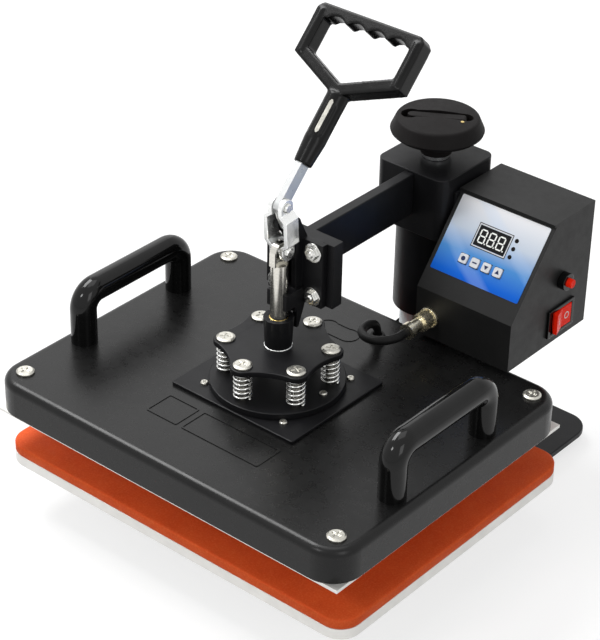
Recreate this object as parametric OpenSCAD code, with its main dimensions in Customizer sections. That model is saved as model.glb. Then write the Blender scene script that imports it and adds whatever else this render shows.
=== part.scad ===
// Swing-away heat press with a lever toggle, a sprung heating head and a
// control box that turns with the arm. Millimetres, +Z up. The origin lies on
// the table under the middle of the outer box; -Y is the operator's side.

/* [Base and stand] */
// width of the base plate
base_w = 284; // [240:1:320]
// base plate reach in front of the plunger axis
base_front = 95; // [70:1:120]
// base plate reach behind the column axis
base_rear = 75; // [65:1:95]
// base plate thickness
base_t = 6; // [4:0.5:10]
// base plate corner radius
base_r = 22; // [6:1:26]
// rubber foot height
foot_h = 9; // [6:0.5:14]
// rubber foot radius
foot_r = 17; // [12:0.5:22]
// height of the stand between base and lower platen
stand_h = 35; // [30:1:50]
// stand tube radius
stand_r = 35; // [28:1:42]
// lower platen set to the right of the head
platen_dx = 5; // [0:0.5:8]
// lower platen set behind the head
platen_dy = 4; // [0:0.5:8]

/* [Platens] */
// platen width
platen_w = 380; // [360:1:400]
// platen depth
platen_d = 300; // [280:1:310]
// lower platen thickness
platen_t = 10; // [8:0.5:14]
// lower platen and pad corner radius
platen_r = 20; // [10:1:28]
// silicone pad thickness
pad_t = 9; // [6:0.5:12]
// open gap between pad and heating platen
open_gap = 33; // [32.5:0.5:45]
// visible rim of the heating platen
heat_lip = 3; // [2:0.5:6]
// raised back of the heating platen inside the cover
heat_core = 11; // [8:0.5:14]

/* [Head cover] */
// cover width
cover_w = 384; // [382:1:396]
// cover depth
cover_d = 304; // [302:1:316]
// cover height
cover_h = 31.5; // [29:0.5:40]
// cover corner radius
cover_r = 28; // [20:1:36]
// soft top edge radius
cover_edge = 7; // [3:0.5:9]
// cover wall
cover_wall = 4; // [3:0.5:6]
// corner screws in from the cover's sides
cover_screw_in_x = 20; // [17:0.5:27]
// corner screws in from the cover's front and back
cover_screw_in_y = 22; // [19:0.5:29]
// corner screw head radius
cover_screw_r = 8; // [6:0.5:9]

/* [Side handles] */
// handles in from the cover's sides
handle_in = 21; // [18:0.5:32]
// handle foot spacing
handle_span = 120; // [100:1:140]
// handle height to the bar's middle
handle_h = 46.7; // [40:0.1:56]
// handle bar radius
handle_r = 11.8; // [9:0.1:12.5]
// handle bend radius
handle_bend = 15.5; // [14:0.5:20]

/* [Spring mount] */
// square plate width
plate_w = 134; // [126:1:146]
// square plate depth
plate_d = 120; // [119:1:132]
// square plate thickness
plate_t = 3; // [2:0.5:5]
// disc radius
disc_r = 58.4; // [57:0.2:59]
// disc thickness
disc_t = 6; // [4:0.5:9]
// spring length
spring_h = 26.5; // [22:0.5:28]
// spring coil radius
spring_r = 7.2; // [6.4:0.1:7.8]
// spring wire radius
wire_r = 1; // [0.8:0.1:1.2]
// spring turns
spring_turns = 6; // [4.5:0.5:6]
// bolt circle radius
bolt_pcd_r = 45; // [43:0.5:47]
// bolt shank radius
bolt_r = 4; // [3:0.25:4.5]
// bolt head radius
bolt_head_r = 8.2; // [7:0.2:9]
// bolt head height
bolt_head_h = 2.4; // [2:0.2:6]
// flower plate thickness
flower_t = 5; // [4:0.5:8]
// flower plate lobe radius
lobe_r = 10.5; // [10:0.5:11]
// flower plate radius between its lobes
waist_r = 45.5; // [43:0.5:46]

/* [Plunger] */
// rod radius
rod_r = 7.5; // [7:0.25:8.5]
// tapered socket height
socket_h = 28; // [24:0.5:36]
// socket radius at its foot
socket_r1 = 11.6; // [11:0.1:12.5]
// socket radius at its mouth
socket_r2 = 13; // [12:0.2:14]
// rod between socket and tongue
rod_show = 51; // [49:0.5:56]
// tongue width
tongue_w = 19; // [18.5:0.25:20]
// lever, tongue and ear gap thickness
tongue_t = 6; // [5:0.25:8]
// plunger stroke
stroke = 26; // [20:0.5:26]

/* [Lever] */
// crank from fixed pivot to link pin
crank_r = 22.5; // [21.5:0.1:23.5]
// crank angle from upright at rest
crank_deg = 25; // [22:0.5:28]
// link length between pins
link_len = 43; // [42:0.5:46]
// link tilt at rest
link_deg = 4.1; // [3.5:0.1:4.5]
// link plate thickness
link_t = 4; // [3:0.25:5]
// link end radius
link_end_r = 7.5; // [7:0.25:8]
// link half width at the bow
link_bow_w = 7.5; // [7.5:0.25:8.75]
// pivot pin radius
pin_r = 3.5; // [3:0.1:4]
// pin head radius
pin_head_r = 4.2; // [4:0.1:4.6]
// lever lean towards the back at rest
lever_lean = 44; // [40:0.5:50]
// lever bar width
lever_w = 12; // [11:0.5:13]
// lever bar between link pin and grip
lever_show = 38; // [34:0.5:48]
// grip length from stem foot to top
grip_len = 131; // [125:1:145]
// grip width
grip_w = 110; // [105:1:125]
// grip thickness
grip_t = 16; // [14:0.5:18]
// grip bar width
grip_bar = 10.5; // [9:0.5:14]
// grip stem radius
stem_r = 9.6; // [9:0.1:10.5]

/* [Arm and column] */
// column axis behind the plunger axis
column_y = 210; // [206:1:225]
// column post radius
post_r = 25; // [22:0.5:27]
// sleeve outer radius
sleeve_r = 32; // [30:0.5:35]
// sleeve length under the block
sleeve_len = 89; // [70:1:95]
// block width and depth
block_w = 75; // [70:1:80]
// block height
block_h = 60; // [58:1:70]
// arm bar thickness
arm_t = 10; // [8:0.5:14]
// arm bar height
arm_h = 40; // [34:1:44]
// end plate width
end_w = 72; // [66:1:80]
// end plate thickness
end_t = 12; // [8:0.5:16]
// bracket flange width
flange_w = 58; // [54:1:62]
// bracket flange thickness
flange_t = 6; // [5:0.5:8]
// plunger axis to bracket flange
flange_y = 20; // [19.5:0.25:22]
// bracket ear thickness
ear_t = 4.5; // [3.5:0.25:5]
// guide collar height
collar_h = 15; // [12:0.5:15.5]
// mounting bolt spacing along X
mount_x = 39; // [36:0.5:44]
// mounting bolt spacing along Z
mount_z = 42; // [38:0.5:44]
// gusset reach from the post
gusset_w = 63; // [50:1:70]
// gusset height
gusset_h = 85; // [60:1:90]

/* [Height knob] */
// knob radius
knob_r = 41.5; // [38:0.5:44]
// knob height with its neck
knob_h = 36.5; // [33:0.5:40]
// height of the knob's cap over the neck
cap_h = 21.5; // [19:0.5:24]
// knob neck radius
knob_neck_r = 14; // [12.5:0.5:16]
// metal collar under the neck
hub_h = 4; // [3:0.5:6]
// screw radius
screw_r = 8; // [7:0.25:9]
// crank slot length
slot_len = 62; // [56:0.5:64]
// crank slot width
slot_w = 13; // [10:0.5:14]
// crank slot depth
slot_d = 9; // [8:0.5:10]
// crank slot turned from +X
slot_deg = 32; // [0:1:60]

/* [Control box] */
// box width
box_w = 100; // [90:1:112]
// box top above its bottom
box_h = 121; // [112:1:130]
// box front behind the plunger axis
box_front = 137.5; // [134:0.5:142]
// box depth
box_d = 115.5; // [108:0.5:122]
// top face depth
box_top_d = 56; // [48:0.5:62]
// height of the upright front
box_low_h = 46.5; // [42:0.5:52]
// box wall
box_wall = 2.5; // [2:0.25:3.5]
// box bottom below the block's bottom
box_drop = 71.5; // [62:0.5:71.5]
// bracket plate between block and box
hang_t = 3; // [2:0.5:6]
// display width
disp_w = 32; // [28:0.5:36]
// display height
disp_h = 18.5; // [16:0.5:21]
// key size
key_s = 8.4; // [7:0.2:9]
// key pitch
key_pitch = 12; // [11:0.25:13]
// key travel
key_go = 0.6; // [0.4:0.1:0.8]
// switch bezel length
bezel_w = 38.5; // [36:0.5:44]
// switch bezel height
bezel_h = 27; // [25:0.5:33]
// rocker tilt to either side
rocker_deg = 9; // [6:0.5:10]
// circuit breaker radius
breaker_r = 8; // [7:0.25:9]
// breaker button radius
button_r = 4; // [3:0.25:5]

/* [Lead] */
// lead radius
lead_r = 4; // [3:0.25:4.5]
// plug ring radius
plug_r = 8; // [7.75:0.25:9]
// socket distance from the box's left side
plug_x = 15.5; // [14:0.5:20]
// socket height above the box's bottom
plug_z = 21; // [16:0.5:26]

/* [Hidden] */
$fn = 64;
// gap of a shaft running in a hole
run = 0.05;
// gap between parts that move past each other
free = 0.4;
// gap between plates that turn side by side
side_gap = 0.3;
// overlap that joins pieces of one part
eps = 0.01;

// heights from the table up
base_top = foot_h + base_t;
platen_z = base_top + stand_h;
pad_z = platen_z + platen_t;
pad_top = pad_z + pad_t;
heat_z = pad_top + open_gap;
cover_z = heat_z + heat_lip;
cover_top = cover_z + cover_h;
plate_top = cover_top + plate_t;
disc_top = plate_top + disc_t;
flower_z = disc_top + spring_h;
flower_top = flower_z + flower_t;
socket_top = flower_top + socket_h;
rod_top = socket_top + rod_show;
// tongue pin above the rod's shoulder
pin_rise = 11;
pin_c_z = rod_top + pin_rise;

// linkage: pivot A on the ears, pin B on the lever, pin C on the tongue
link_low_y = link_len * sin(link_deg);
pin_b_z = pin_c_z + link_len * cos(link_deg);
pivot_y = crank_r * sin(crank_deg);
pivot_z = pin_b_z - crank_r * cos(crank_deg);
// room that the pin needs in the tongue's slot over the stroke
slot_y = 3.5;
slot_z = 2.1;

// arm group hangs from the tongue pin's height
end_h = block_h;
end_drop = 53;
arm_z0 = pin_c_z - end_drop;
arm_bar_z = arm_z0 + end_h - arm_h - 2;
end_y = flange_y + flange_t;
end_back = end_y + end_t;
block_y = column_y - block_w / 2;
block_top = arm_z0 + block_h;
bore_up = 44;
post_up = 25;
bore_top = arm_z0 + bore_up;
post_top = arm_z0 + post_up;
nut_h = 10;
nut_r = post_r - 3;
knob_z = block_top + free;

// control box corners
box_x = block_w / 2 + hang_t;
box_z = arm_z0 - box_drop;
box_back = box_front + box_d;
box_top = box_z + box_h;
box_lip_y = box_back - box_top_d;
panel_z = box_z + box_low_h;
panel_deg = atan2(box_top - panel_z, box_lip_y - box_front);
panel_len = norm([box_lip_y - box_front, box_top - panel_z]);

// outer box in Y puts the origin under its middle
front_y = -cover_d / 2;
rear_y = column_y + base_rear;
mid_y = (front_y + rear_y) / 2;

black = [0.05, 0.05, 0.055];
gloss = [0.02, 0.02, 0.022];
zinc = [0.78, 0.79, 0.78];
steel = [0.7, 0.71, 0.72];
alu = [0.82, 0.83, 0.84];
orange = [0.85, 0.25, 0.07];
red = [0.85, 0.1, 0.05];

// Shared shapes

module placed() translate([0, -mid_y, 0]) children();

module rrect(w, d, r) {
    square([w - 2 * r, d], center = true);
    square([w, d - 2 * r], center = true);
    for (sx = [-1, 1])
        for (sy = [-1, 1])
            translate([sx * (w / 2 - r), sy * (d / 2 - r)]) circle(r);
}

module slab(w, d, r, h) linear_extrude(height = h) rrect(w, d, r);

// flat shape drawn in Y and Z, centred on X
module yz(h) rotate([90, 0, 90]) linear_extrude(height = h, center = true) children();

// flat shape drawn in X and Z, centred on Y
module xz(h) rotate([90, 0, 0]) linear_extrude(height = h, center = true) children();

module rod_x(r, h) rotate([0, 90, 0]) cylinder(r = r, h = h, center = true);

module rod_y(r, h) rotate([90, 0, 0]) cylinder(r = r, h = h, center = true);

// straight bar with round ends between two points in 2D
module bar2(p, q, w) {
    dx = q[0] - p[0];
    dy = q[1] - p[1];
    translate(p) rotate(atan2(dy, dx)) translate([0, -w / 2]) square([norm([dx, dy]), w]);
    translate(p) circle(w / 2);
    translate(q) circle(w / 2);
}

// low crowned head, standing on z = 0
module crowned(r, h) {
    crown = h * 0.4;
    cylinder(r = r, h = h - crown);
    translate([0, 0, h - crown]) cylinder(r1 = r, r2 = r * 0.78, h = crown);
}

// crowned head with a cross recess
module pan_head(r, h) difference() {
    cross_w = r * 0.2;
    cross_l = r * 1.05;
    cross_d = h * 0.3;
    crowned(r, h);
    for (a = [0, 90])
        rotate(a) translate([-cross_l / 2, -cross_w / 2, h - cross_d]) cube([cross_l, cross_w, h]);
}

module hex_head(r, h) cylinder(r = r, h = h, $fn = 6);

// section of a soft-edged slab from its corner axis outwards
module soft_edge(r, h, e) {
    square([r, h - e]);
    square([r - e, h]);
    translate([r - e, h - e]) circle(e);
}

module soft_slab(w, d, h, r, e) {
    in_x = w / 2 - r;
    in_y = d / 2 - r;
    translate([-in_x, -in_y, 0]) cube([2 * in_x, 2 * in_y, h]);
    for (s = [0, 1]) {
        mirror([0, s, 0]) translate([-in_x, in_y, 0]) rotate([90, 0, 90])
            linear_extrude(height = 2 * in_x) soft_edge(r, h, e);
        mirror([s, 0, 0]) translate([in_x, in_y, 0]) rotate([90, 0, 0])
            linear_extrude(height = 2 * in_y) soft_edge(r, h, e);
        for (t = [0, 1])
            mirror([s, 0, 0]) mirror([0, t, 0]) translate([in_x, in_y, 0])
                rotate_extrude(angle = 90) soft_edge(r, h, e);
    }
}

// Base

foot_in = 28;
foot_taper = 2;
module foot_spots() {
    for (sx = [-1, 1])
        for (y = [foot_in - base_front, rear_y - foot_in])
            translate([sx * (base_w / 2 - foot_in), y, 0]) children();
}

module base_plate() color(black) placed() {
    base_d = base_front + rear_y;
    translate([0, rear_y - base_d / 2, foot_h]) slab(base_w, base_d, base_r, base_t);
}

module rubber_feet() color(gloss) placed() foot_spots()
    cylinder(r1 = foot_r - foot_taper, r2 = foot_r, h = foot_h);

bolt_m8 = 6.5;
bolt_m8_h = 5;
ring_out = 23;
ring_bolt_out = 13;
ring_r = post_r + ring_out;
ring_h = 8;

post_bore = 90;
bore_gap = 2;
module column_post() color(steel) placed() translate([0, column_y, 0]) difference() {
    translate([0, 0, base_top]) cylinder(r = post_r, h = post_top - base_top);
    translate([0, 0, post_top - post_bore]) cylinder(r = screw_r + bore_gap, h = post_bore + 1);
}

gusset_t = 8;
gusset_toe = 4;
module post_foot() color(black) placed() translate([0, column_y, base_top]) difference() {
    union() {
        cylinder(r = ring_r, h = ring_h);
        for (s = [0, 1])
            mirror([s, 0, 0]) xz(gusset_t) polygon([
                [0, 0], [post_r + gusset_w, 0], [post_r + gusset_w, gusset_toe],
                [post_r, gusset_h], [0, gusset_h]
            ]);
    }
    translate([0, 0, -1]) cylinder(r = post_r, h = gusset_h + 2);
}

module post_bolts() color(zinc) placed() translate([0, column_y, base_top + ring_h])
    for (a = [45:90:315])
        rotate(a) translate([post_r + ring_bolt_out, 0, 0]) hex_head(bolt_m8, bolt_m8_h);

stand_plate_w = 170;
stand_plate_d = 130;
stand_plate_t = 5;
stand_plate_r = 8;
stand_wall = 4;
stand_ring_r = stand_r + ring_out + 1;
stand_ring_t = 6;
stand_screw_in = 15;

module stand_at() translate([platen_dx, platen_dy, 0]) children();

module platen_stand() color(black) placed() stand_at() {
    translate([0, 0, base_top]) difference() {
        union() {
            cylinder(r = stand_ring_r, h = stand_ring_t);
            cylinder(r = stand_r, h = stand_h - stand_plate_t);
        }
        translate([0, 0, -1]) cylinder(r = stand_r - stand_wall, h = stand_h - stand_plate_t + 1);
    }
    translate([0, 0, platen_z - stand_plate_t])
        slab(stand_plate_w, stand_plate_d, stand_plate_r, stand_plate_t);
}

module stand_bolts() color(zinc) placed() stand_at() {
    for (a = [45:90:315])
        rotate(a) translate([stand_r + ring_bolt_out, 0, base_top + stand_ring_t])
            hex_head(bolt_m8, bolt_m8_h);
    for (sx = [-1, 1])
        for (sy = [-1, 1])
            translate([
                sx * (stand_plate_w / 2 - stand_screw_in), sy * (stand_plate_d / 2 - stand_screw_in),
                platen_z - stand_plate_t - bolt_m8_h
            ]) hex_head(bolt_m8, bolt_m8_h);
}

module lower_platen() color(alu) placed() stand_at()
    translate([0, 0, platen_z]) slab(platen_w, platen_d, platen_r, platen_t);

module silicone_pad() color(orange) placed() stand_at()
    translate([0, 0, pad_z]) slab(platen_w, platen_d, platen_r, pad_t);

// Column head and arm

module column_at() translate([0, column_y, 0]) children();

module swivel_nut() color(steel) placed() column_at() translate([0, 0, post_top + run]) difference() {
    cylinder(r = nut_r, h = nut_h);
    translate([0, 0, -1]) cylinder(r = screw_r + run, h = nut_h + 2);
}

module swing_sleeve() color(black) placed() column_at() translate([0, 0, arm_z0 - sleeve_len]) difference() {
    cylinder(r = sleeve_r, h = sleeve_len);
    translate([0, 0, -1]) cylinder(r = post_r + run, h = sleeve_len + 2);
}

block_edge = 9;
module head_block() color(black) placed() column_at() difference() {
    translate([0, 0, arm_z0]) slab(block_w, block_w, block_edge, block_h);
    translate([0, 0, arm_z0 - 1]) cylinder(r = post_r + run, h = bore_top - arm_z0 + 1);
    translate([0, 0, arm_z0]) cylinder(r = screw_r + run, h = block_h + 1);
}

module arm_bar() color(black) placed()
    translate([-arm_t / 2, end_back, arm_bar_z]) cube([arm_t, block_y - end_back, arm_h]);

module mount_spots() {
    for (sx = [-1, 1])
        for (sz = [-1, 1])
            translate([sx * mount_x / 2, 0, arm_z0 + end_h / 2 + sz * mount_z / 2]) children();
}

mount_r = 4;
module end_plate() color(black) placed() difference() {
    translate([-end_w / 2, end_y, arm_z0]) cube([end_w, end_t, end_h]);
    mount_spots() translate([0, end_y + end_t / 2, 0]) rod_y(mount_r + run, end_t + 2);
}

washer_r = 8.6;
ear_in = tongue_t / 2 + side_gap;
ear_r = 8;
ear_up_deg = 50;
ear_low_deg = 30;
ear_root = 1.4 * ear_r;
rib_y = link_low_y + link_end_r + 1;
collar_x = mount_x / 2 - washer_r - side_gap;
collar_front = 3;
// the ears run down behind the socket as webs
web_y = socket_r2 + 1;
web_top = socket_top + 1.5;
web_drop = 24;
web_foot = 3;
module guide_bracket() color(black) placed() difference() {
    union() {
        translate([-flange_w / 2, flange_y, arm_z0]) cube([flange_w, flange_t, end_h]);
        translate([-collar_x, -collar_front, arm_z0])
            cube([2 * collar_x, flange_y + collar_front + eps, collar_h]);
        for (s = [-1, 1])
            translate([s * (ear_in + ear_t / 2), 0, 0]) yz(ear_t) {
                polygon([
                    [rib_y, web_top], [web_y, web_top], [web_y, arm_z0 - web_drop],
                    [web_y + web_foot, arm_z0 - web_drop], [end_y, arm_z0], [end_y, arm_z0 + end_h],
                    [pivot_y + ear_r * sin(ear_up_deg), pivot_z + ear_r * cos(ear_up_deg)],
                    [pivot_y, pivot_z],
                    [pivot_y - ear_r * sin(ear_low_deg), pivot_z - ear_r * cos(ear_low_deg)],
                    [rib_y, pivot_z - ear_root]
                ]);
                translate([pivot_y, pivot_z]) circle(ear_r);
            }
    }
    translate([0, 0, arm_z0 - 1]) cylinder(r = rod_r + run, h = collar_h + 2);
    translate([0, pivot_y, pivot_z]) rod_x(pin_r, 4 * ear_r);
    mount_spots() translate([0, flange_y + flange_t / 2, 0]) rod_y(mount_r + run, flange_t + 2);
}

washer_t = 1.6;
mount_nut_r = 6;
mount_nut_h = 3.2;
mount_end_r = 3;
mount_end_h = 1.2;
module bracket_bolts() color(zinc) placed() mount_spots() {
    translate([0, flange_y - washer_t / 2, 0]) rod_y(washer_r, washer_t);
    translate([0, flange_y - washer_t, 0]) rotate([90, 0, 0]) {
        hex_head(mount_nut_r, mount_nut_h);
        translate([0, 0, mount_nut_h - eps]) crowned(mount_end_r, mount_end_h);
    }
    translate([0, (flange_y - washer_t + end_back) / 2, 0]) rod_y(mount_r, end_back - flange_y + washer_t);
    translate([0, end_back, 0]) rotate([-90, 0, 0]) hex_head(mount_nut_r, mount_nut_h);
}

module lever_pivot() color(steel) placed() translate([0, pivot_y, pivot_z])
    rod_x(pin_r, 2 * (ear_in + ear_t));

// Control box

hang_d = 46;
hang_h = 44;
hang_down = 4;
module box_hanger() color(black) placed()
    translate([block_w / 2, column_y - hang_d / 2, box_top - hang_h - hang_down])
        cube([hang_t, hang_d, hang_h]);

// x right, y up the slope, z out of the panel
module panel_at() translate([box_x, box_front, panel_z]) rotate([panel_deg, 0, 0]) children();

disp_x = 49;
disp_down = 34.3;
disp_y = panel_len - disp_down;
lamp_x = 71;
lamp_pitch = 7.5;
lamp_r = 1.9;
key_x0 = 31;
key_down = 58;
key_y = panel_len - key_down;
module key_spots() for (i = [0:3]) translate([key_x0 + i * key_pitch, key_y, 0]) children();
module lamp_spots() for (i = [-1:1]) translate([lamp_x, disp_y + i * lamp_pitch, 0]) children();

// switch, breaker and inlet from the box's back and bottom
rocker_fore = 41;
rocker_up = 21.5;
rocker_y = box_back - rocker_fore;
rocker_z = box_z + rocker_up;
bezel_side = 4;
bezel_end = 3;
rocker_in_w = bezel_w - 2 * bezel_side;
rocker_in_h = bezel_h - 2 * bezel_end;
breaker_up = 60;
breaker_y = rocker_y - 1;
breaker_z = box_z + breaker_up;
breaker_step = 2;
neck_r = breaker_r - breaker_step;
inlet_up = 30;
plug_wx = box_x + plug_x;
plug_wz = box_z + plug_z;
socket_r = 6.2;
inlet_w = 27;
inlet_h = 20;
inlet_x = box_x + box_w / 2;
inlet_z = box_z + inlet_up;
cover_t = 1.5;
key_gap = 0.4;
key_hole = key_s + 2 * key_gap;
wall_cut = 4 * box_wall;

switch_hole = 2;
lip_out = 4.5;
lip_t = 2.4;
module box_shell() color(black) placed() difference() {
    translate([box_x + box_w / 2, 0, 0]) yz(box_w) polygon([
        [box_front, box_z], [box_back - cover_t, box_z], [box_back - cover_t, box_top],
        [box_lip_y - lip_out, box_top], [box_lip_y - lip_out, box_top - lip_t],
        [box_lip_y - lip_t / tan(panel_deg), box_top - lip_t], [box_front, panel_z]
    ]);
    translate([box_x + box_w / 2, 0, 0]) yz(box_w - 2 * box_wall) polygon([
        [box_front + box_wall, box_z + box_wall], [box_back + 1, box_z + box_wall],
        [box_back + 1, box_top - box_wall],
        [box_lip_y + box_wall * tan(panel_deg / 2), box_top - box_wall],
        [box_front + box_wall, panel_z - box_wall * tan(45 - panel_deg / 2)]
    ]);
    panel_at() {
        key_spots() translate([0, 0, -box_wall]) cube([key_hole, key_hole, wall_cut], center = true);
        lamp_spots() translate([0, 0, -2 * box_wall]) cylinder(r = lamp_r + run, h = wall_cut);
        translate([disp_x, disp_y, -box_wall]) cube([disp_w, disp_h, wall_cut], center = true);
    }
    translate([box_x + box_w, rocker_y, rocker_z])
        cube([wall_cut, rocker_in_w + switch_hole, rocker_in_h + switch_hole], center = true);
    translate([box_x + box_w, breaker_y, breaker_z]) rod_x(neck_r, wall_cut);
    translate([plug_wx, box_front, plug_wz]) rod_y(socket_r, wall_cut);
}

// flat cover with a screw in each corner
cover_pan_r = 3;
cover_pan_h = 1.8;
module box_back_cover() color(black) placed() {
    cover_in = 6;
    difference() {
        translate([box_x, box_back - cover_t, box_z]) cube([box_w, cover_t, box_h]);
        translate([inlet_x, box_back, inlet_z]) cube([inlet_w, 6 * cover_t, inlet_h], center = true);
    }
    for (x = [box_x + cover_in, box_x + box_w - cover_in])
        for (z = [box_z + cover_in, box_top - cover_in])
            translate([x, box_back - eps, z]) rotate([-90, 0, 0]) pan_head(cover_pan_r, cover_pan_h);
}

sheet_t = 0.4;
sheet_w = 92.4;
sheet_h = 70;
sheet_r = 1.5;
sheet_down = 41;
sheet_y = panel_len - sheet_down;
sheet_cut = 4;
module panel_overlay() color([0.5, 0.7, 0.95]) placed() panel_at() difference() {
    translate([box_w / 2, sheet_y, 0]) linear_extrude(height = sheet_t) rrect(sheet_w, sheet_h, sheet_r);
    key_spots() cube([key_hole, key_hole, sheet_cut], center = true);
    lamp_spots() cylinder(r = lamp_r + run, h = sheet_cut, center = true);
    translate([disp_x, disp_y, 0]) cube([disp_w, disp_h, sheet_cut], center = true);
}

// board behind the panel, on four pillars
board_t = 1.6;
board_in = 9;
board_w = 62;
board_h = 52;
board_down = 46;
pillar_r = 2.5;
pillar_in = 4;
module circuit_board() color([0.05, 0.3, 0.12]) placed() panel_at()
    translate([disp_x + 2, panel_len - board_down, 0]) {
    translate([-board_w / 2, -board_h / 2, -board_in]) cube([board_w, board_h, board_t]);
    for (sx = [-1, 1])
        for (sy = [-1, 1])
            translate([sx * (board_w / 2 - pillar_in), sy * (board_h / 2 - pillar_in), -board_in])
                cylinder(r = pillar_r, h = board_in - box_wall);
}

fit = 0.1;
disp_out = 0.8;
module display() color([0.03, 0.03, 0.03]) placed() panel_at()
    translate([disp_x + fit - disp_w / 2, disp_y + fit - disp_h / 2, board_t - board_in])
        cube([disp_w - 2 * fit, disp_h - 2 * fit, board_in - board_t + disp_out]);

lamp_out = 0.6;
module lamps() color(red) placed() panel_at() lamp_spots()
    translate([0, 0, board_t - board_in]) cylinder(r = lamp_r, h = board_in - board_t + lamp_out);

// key n counted from the left, with a stem that stops short of the board
key_low = 1.2;
key_t = 2.8;
key_r = 1.6;
key_stem_r = 2;
key_foot = board_t - board_in + key_go + side_gap;
module one_key(n) color([0.9, 0.9, 0.88]) placed() panel_at() translate([key_x0 + n * key_pitch, key_y, 0]) {
    translate([0, 0, -key_low]) linear_extrude(height = key_t) rrect(key_s, key_s, key_r);
    translate([0, 0, key_foot]) cylinder(r = key_stem_r, h = -key_foot);
}

module key_1() one_key(0);
module key_2() one_key(1);
module key_3() one_key(2);
module key_4() one_key(3);

bezel_t = 2.4;
switch_d = 22;
switch_wall = 0.8;
well_d = 11;
module switch_at() translate([box_x + box_w, rocker_y, rocker_z]) children();

module rocker_bezel() color(gloss) placed() switch_at() difference() {
    union() {
        translate([bezel_t / 2, 0, 0]) cube([bezel_t, bezel_w, bezel_h], center = true);
        translate([-switch_d / 2, 0, 0])
            cube([switch_d, rocker_in_w + 2 * switch_wall, rocker_in_h + 2 * switch_wall], center = true);
    }
    translate([bezel_t, 0, 0]) cube([2 * well_d, rocker_in_w, rocker_in_h], center = true);
}

// rocker pivot lies in the bezel's plane; the far half stands proud
rocker_nose = 5;
rocker_root = 4;
rocker_edge = 1.4;
rocker_dip = 2.6;
module rocker() color(red) placed() switch_at() rotate([0, 0, rocker_deg]) {
    half = rocker_in_w / 2 - rocker_edge;
    linear_extrude(height = rocker_in_h - 1, center = true) polygon([
        [-rocker_root, -rocker_root], [rocker_edge, -half], [rocker_nose, -half], [rocker_dip, 0],
        [rocker_nose, half], [rocker_edge, half], [-rocker_root, rocker_root]
    ]);
}

breaker_len = 7;
neck_len = 20;
button_go = 2.5;
button_len = 8;
button_mid = breaker_len + button_go + 2 - button_len / 2;
module breaker_body() color(gloss) placed() translate([box_x + box_w, breaker_y, breaker_z]) difference() {
    union() {
        translate([breaker_len / 2, 0, 0]) rod_x(breaker_r, breaker_len);
        translate([-neck_len / 2, 0, 0]) rod_x(neck_r - run, neck_len + eps);
    }
    translate([button_mid, 0, 0]) rod_x(button_r + side_gap, button_len + 2 * (button_go + 1));
}

module breaker_button() color(red) placed()
    translate([box_x + box_w + button_mid, breaker_y, breaker_z]) rod_x(button_r, button_len);

socket_t = 3;
socket_rim = 1.5;
socket_neck = 8;
socket_nose = 6;
module lead_socket() color(zinc) placed() translate([plug_wx, box_front, plug_wz]) {
    translate([0, -socket_t / 2, 0]) rod_y(plug_r + socket_rim, socket_t);
    translate([0, socket_neck / 2, 0]) rod_y(socket_r - run, socket_neck + eps);
    translate([0, -socket_t - socket_nose / 2, 0]) rod_y(socket_r, socket_nose + eps);
}

plug_len = 12;
tail_len = 12;
clamp_len = 6;
plug_step = 2;
clamp_step = 0.7;
rib_deg = 20;
rib_out = 0.8;
rib_w = 1.4;
plug_y = box_front - socket_t - side_gap;
plug_tip = plug_y - plug_len - tail_len - clamp_len;
module lead_plug() color(zinc) placed() translate([plug_wx, 0, plug_wz]) difference() {
    union() {
        translate([0, plug_y - plug_len / 2, 0]) rod_y(plug_r, plug_len);
        translate([0, plug_y - plug_len - tail_len / 2, 0]) rod_y(plug_r - plug_step, tail_len + eps);
        translate([0, plug_tip + clamp_len / 2, 0]) rod_y(plug_r - clamp_step, clamp_len);
        for (a = [0:rib_deg:360 - rib_deg])
            translate([0, plug_y - plug_len / 2, 0]) rotate([0, a, 0])
                translate([plug_r, 0, 0]) cube([rib_out, plug_len - 2 * clamp_step, rib_w], center = true);
    }
    translate([0, plug_y, 0]) rod_y(socket_r + run, 2 * (socket_nose + side_gap));
    translate([0, plug_tip + tail_len / 2, 0]) rod_y(lead_r + run, tail_len + clamp_len);
}

// lead from the plug's mouth down into the cover's grommet
grommet_x = 19;
grommet_y = 112;
grommet_wall = 2;
grommet_rim = 2.5;
grommet_h = 6;
lead_sides = 10;
lead_steps = 14;
lead_end = 6;
lead_out = 45;
lead_lift = 27;
lead_from = [plug_wx, plug_tip, plug_wz];
lead_to = [grommet_x, grommet_y, cover_top + grommet_h];
// bend that leaves the plug forwards and comes down on the grommet
function lead_bend(t) = pow(1 - t, 3) * lead_from + 3 * pow(1 - t, 2) * t * (lead_from - [0, lead_out, 0])
    + 3 * (1 - t) * t * t * (lead_to + [0, 0, lead_lift]) + pow(t, 3) * lead_to;
lead_path = concat(
    [lead_from + [0, lead_end, 0]], [for (i = [0:lead_steps]) lead_bend(i / lead_steps)],
    [lead_to - [0, 0, grommet_h - side_gap]]
);
function unit(v) = v / norm(v);
function run_dir(p, i) = unit(p[min(i + 1, len(p) - 1)] - p[max(i - 1, 0)]);
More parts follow.
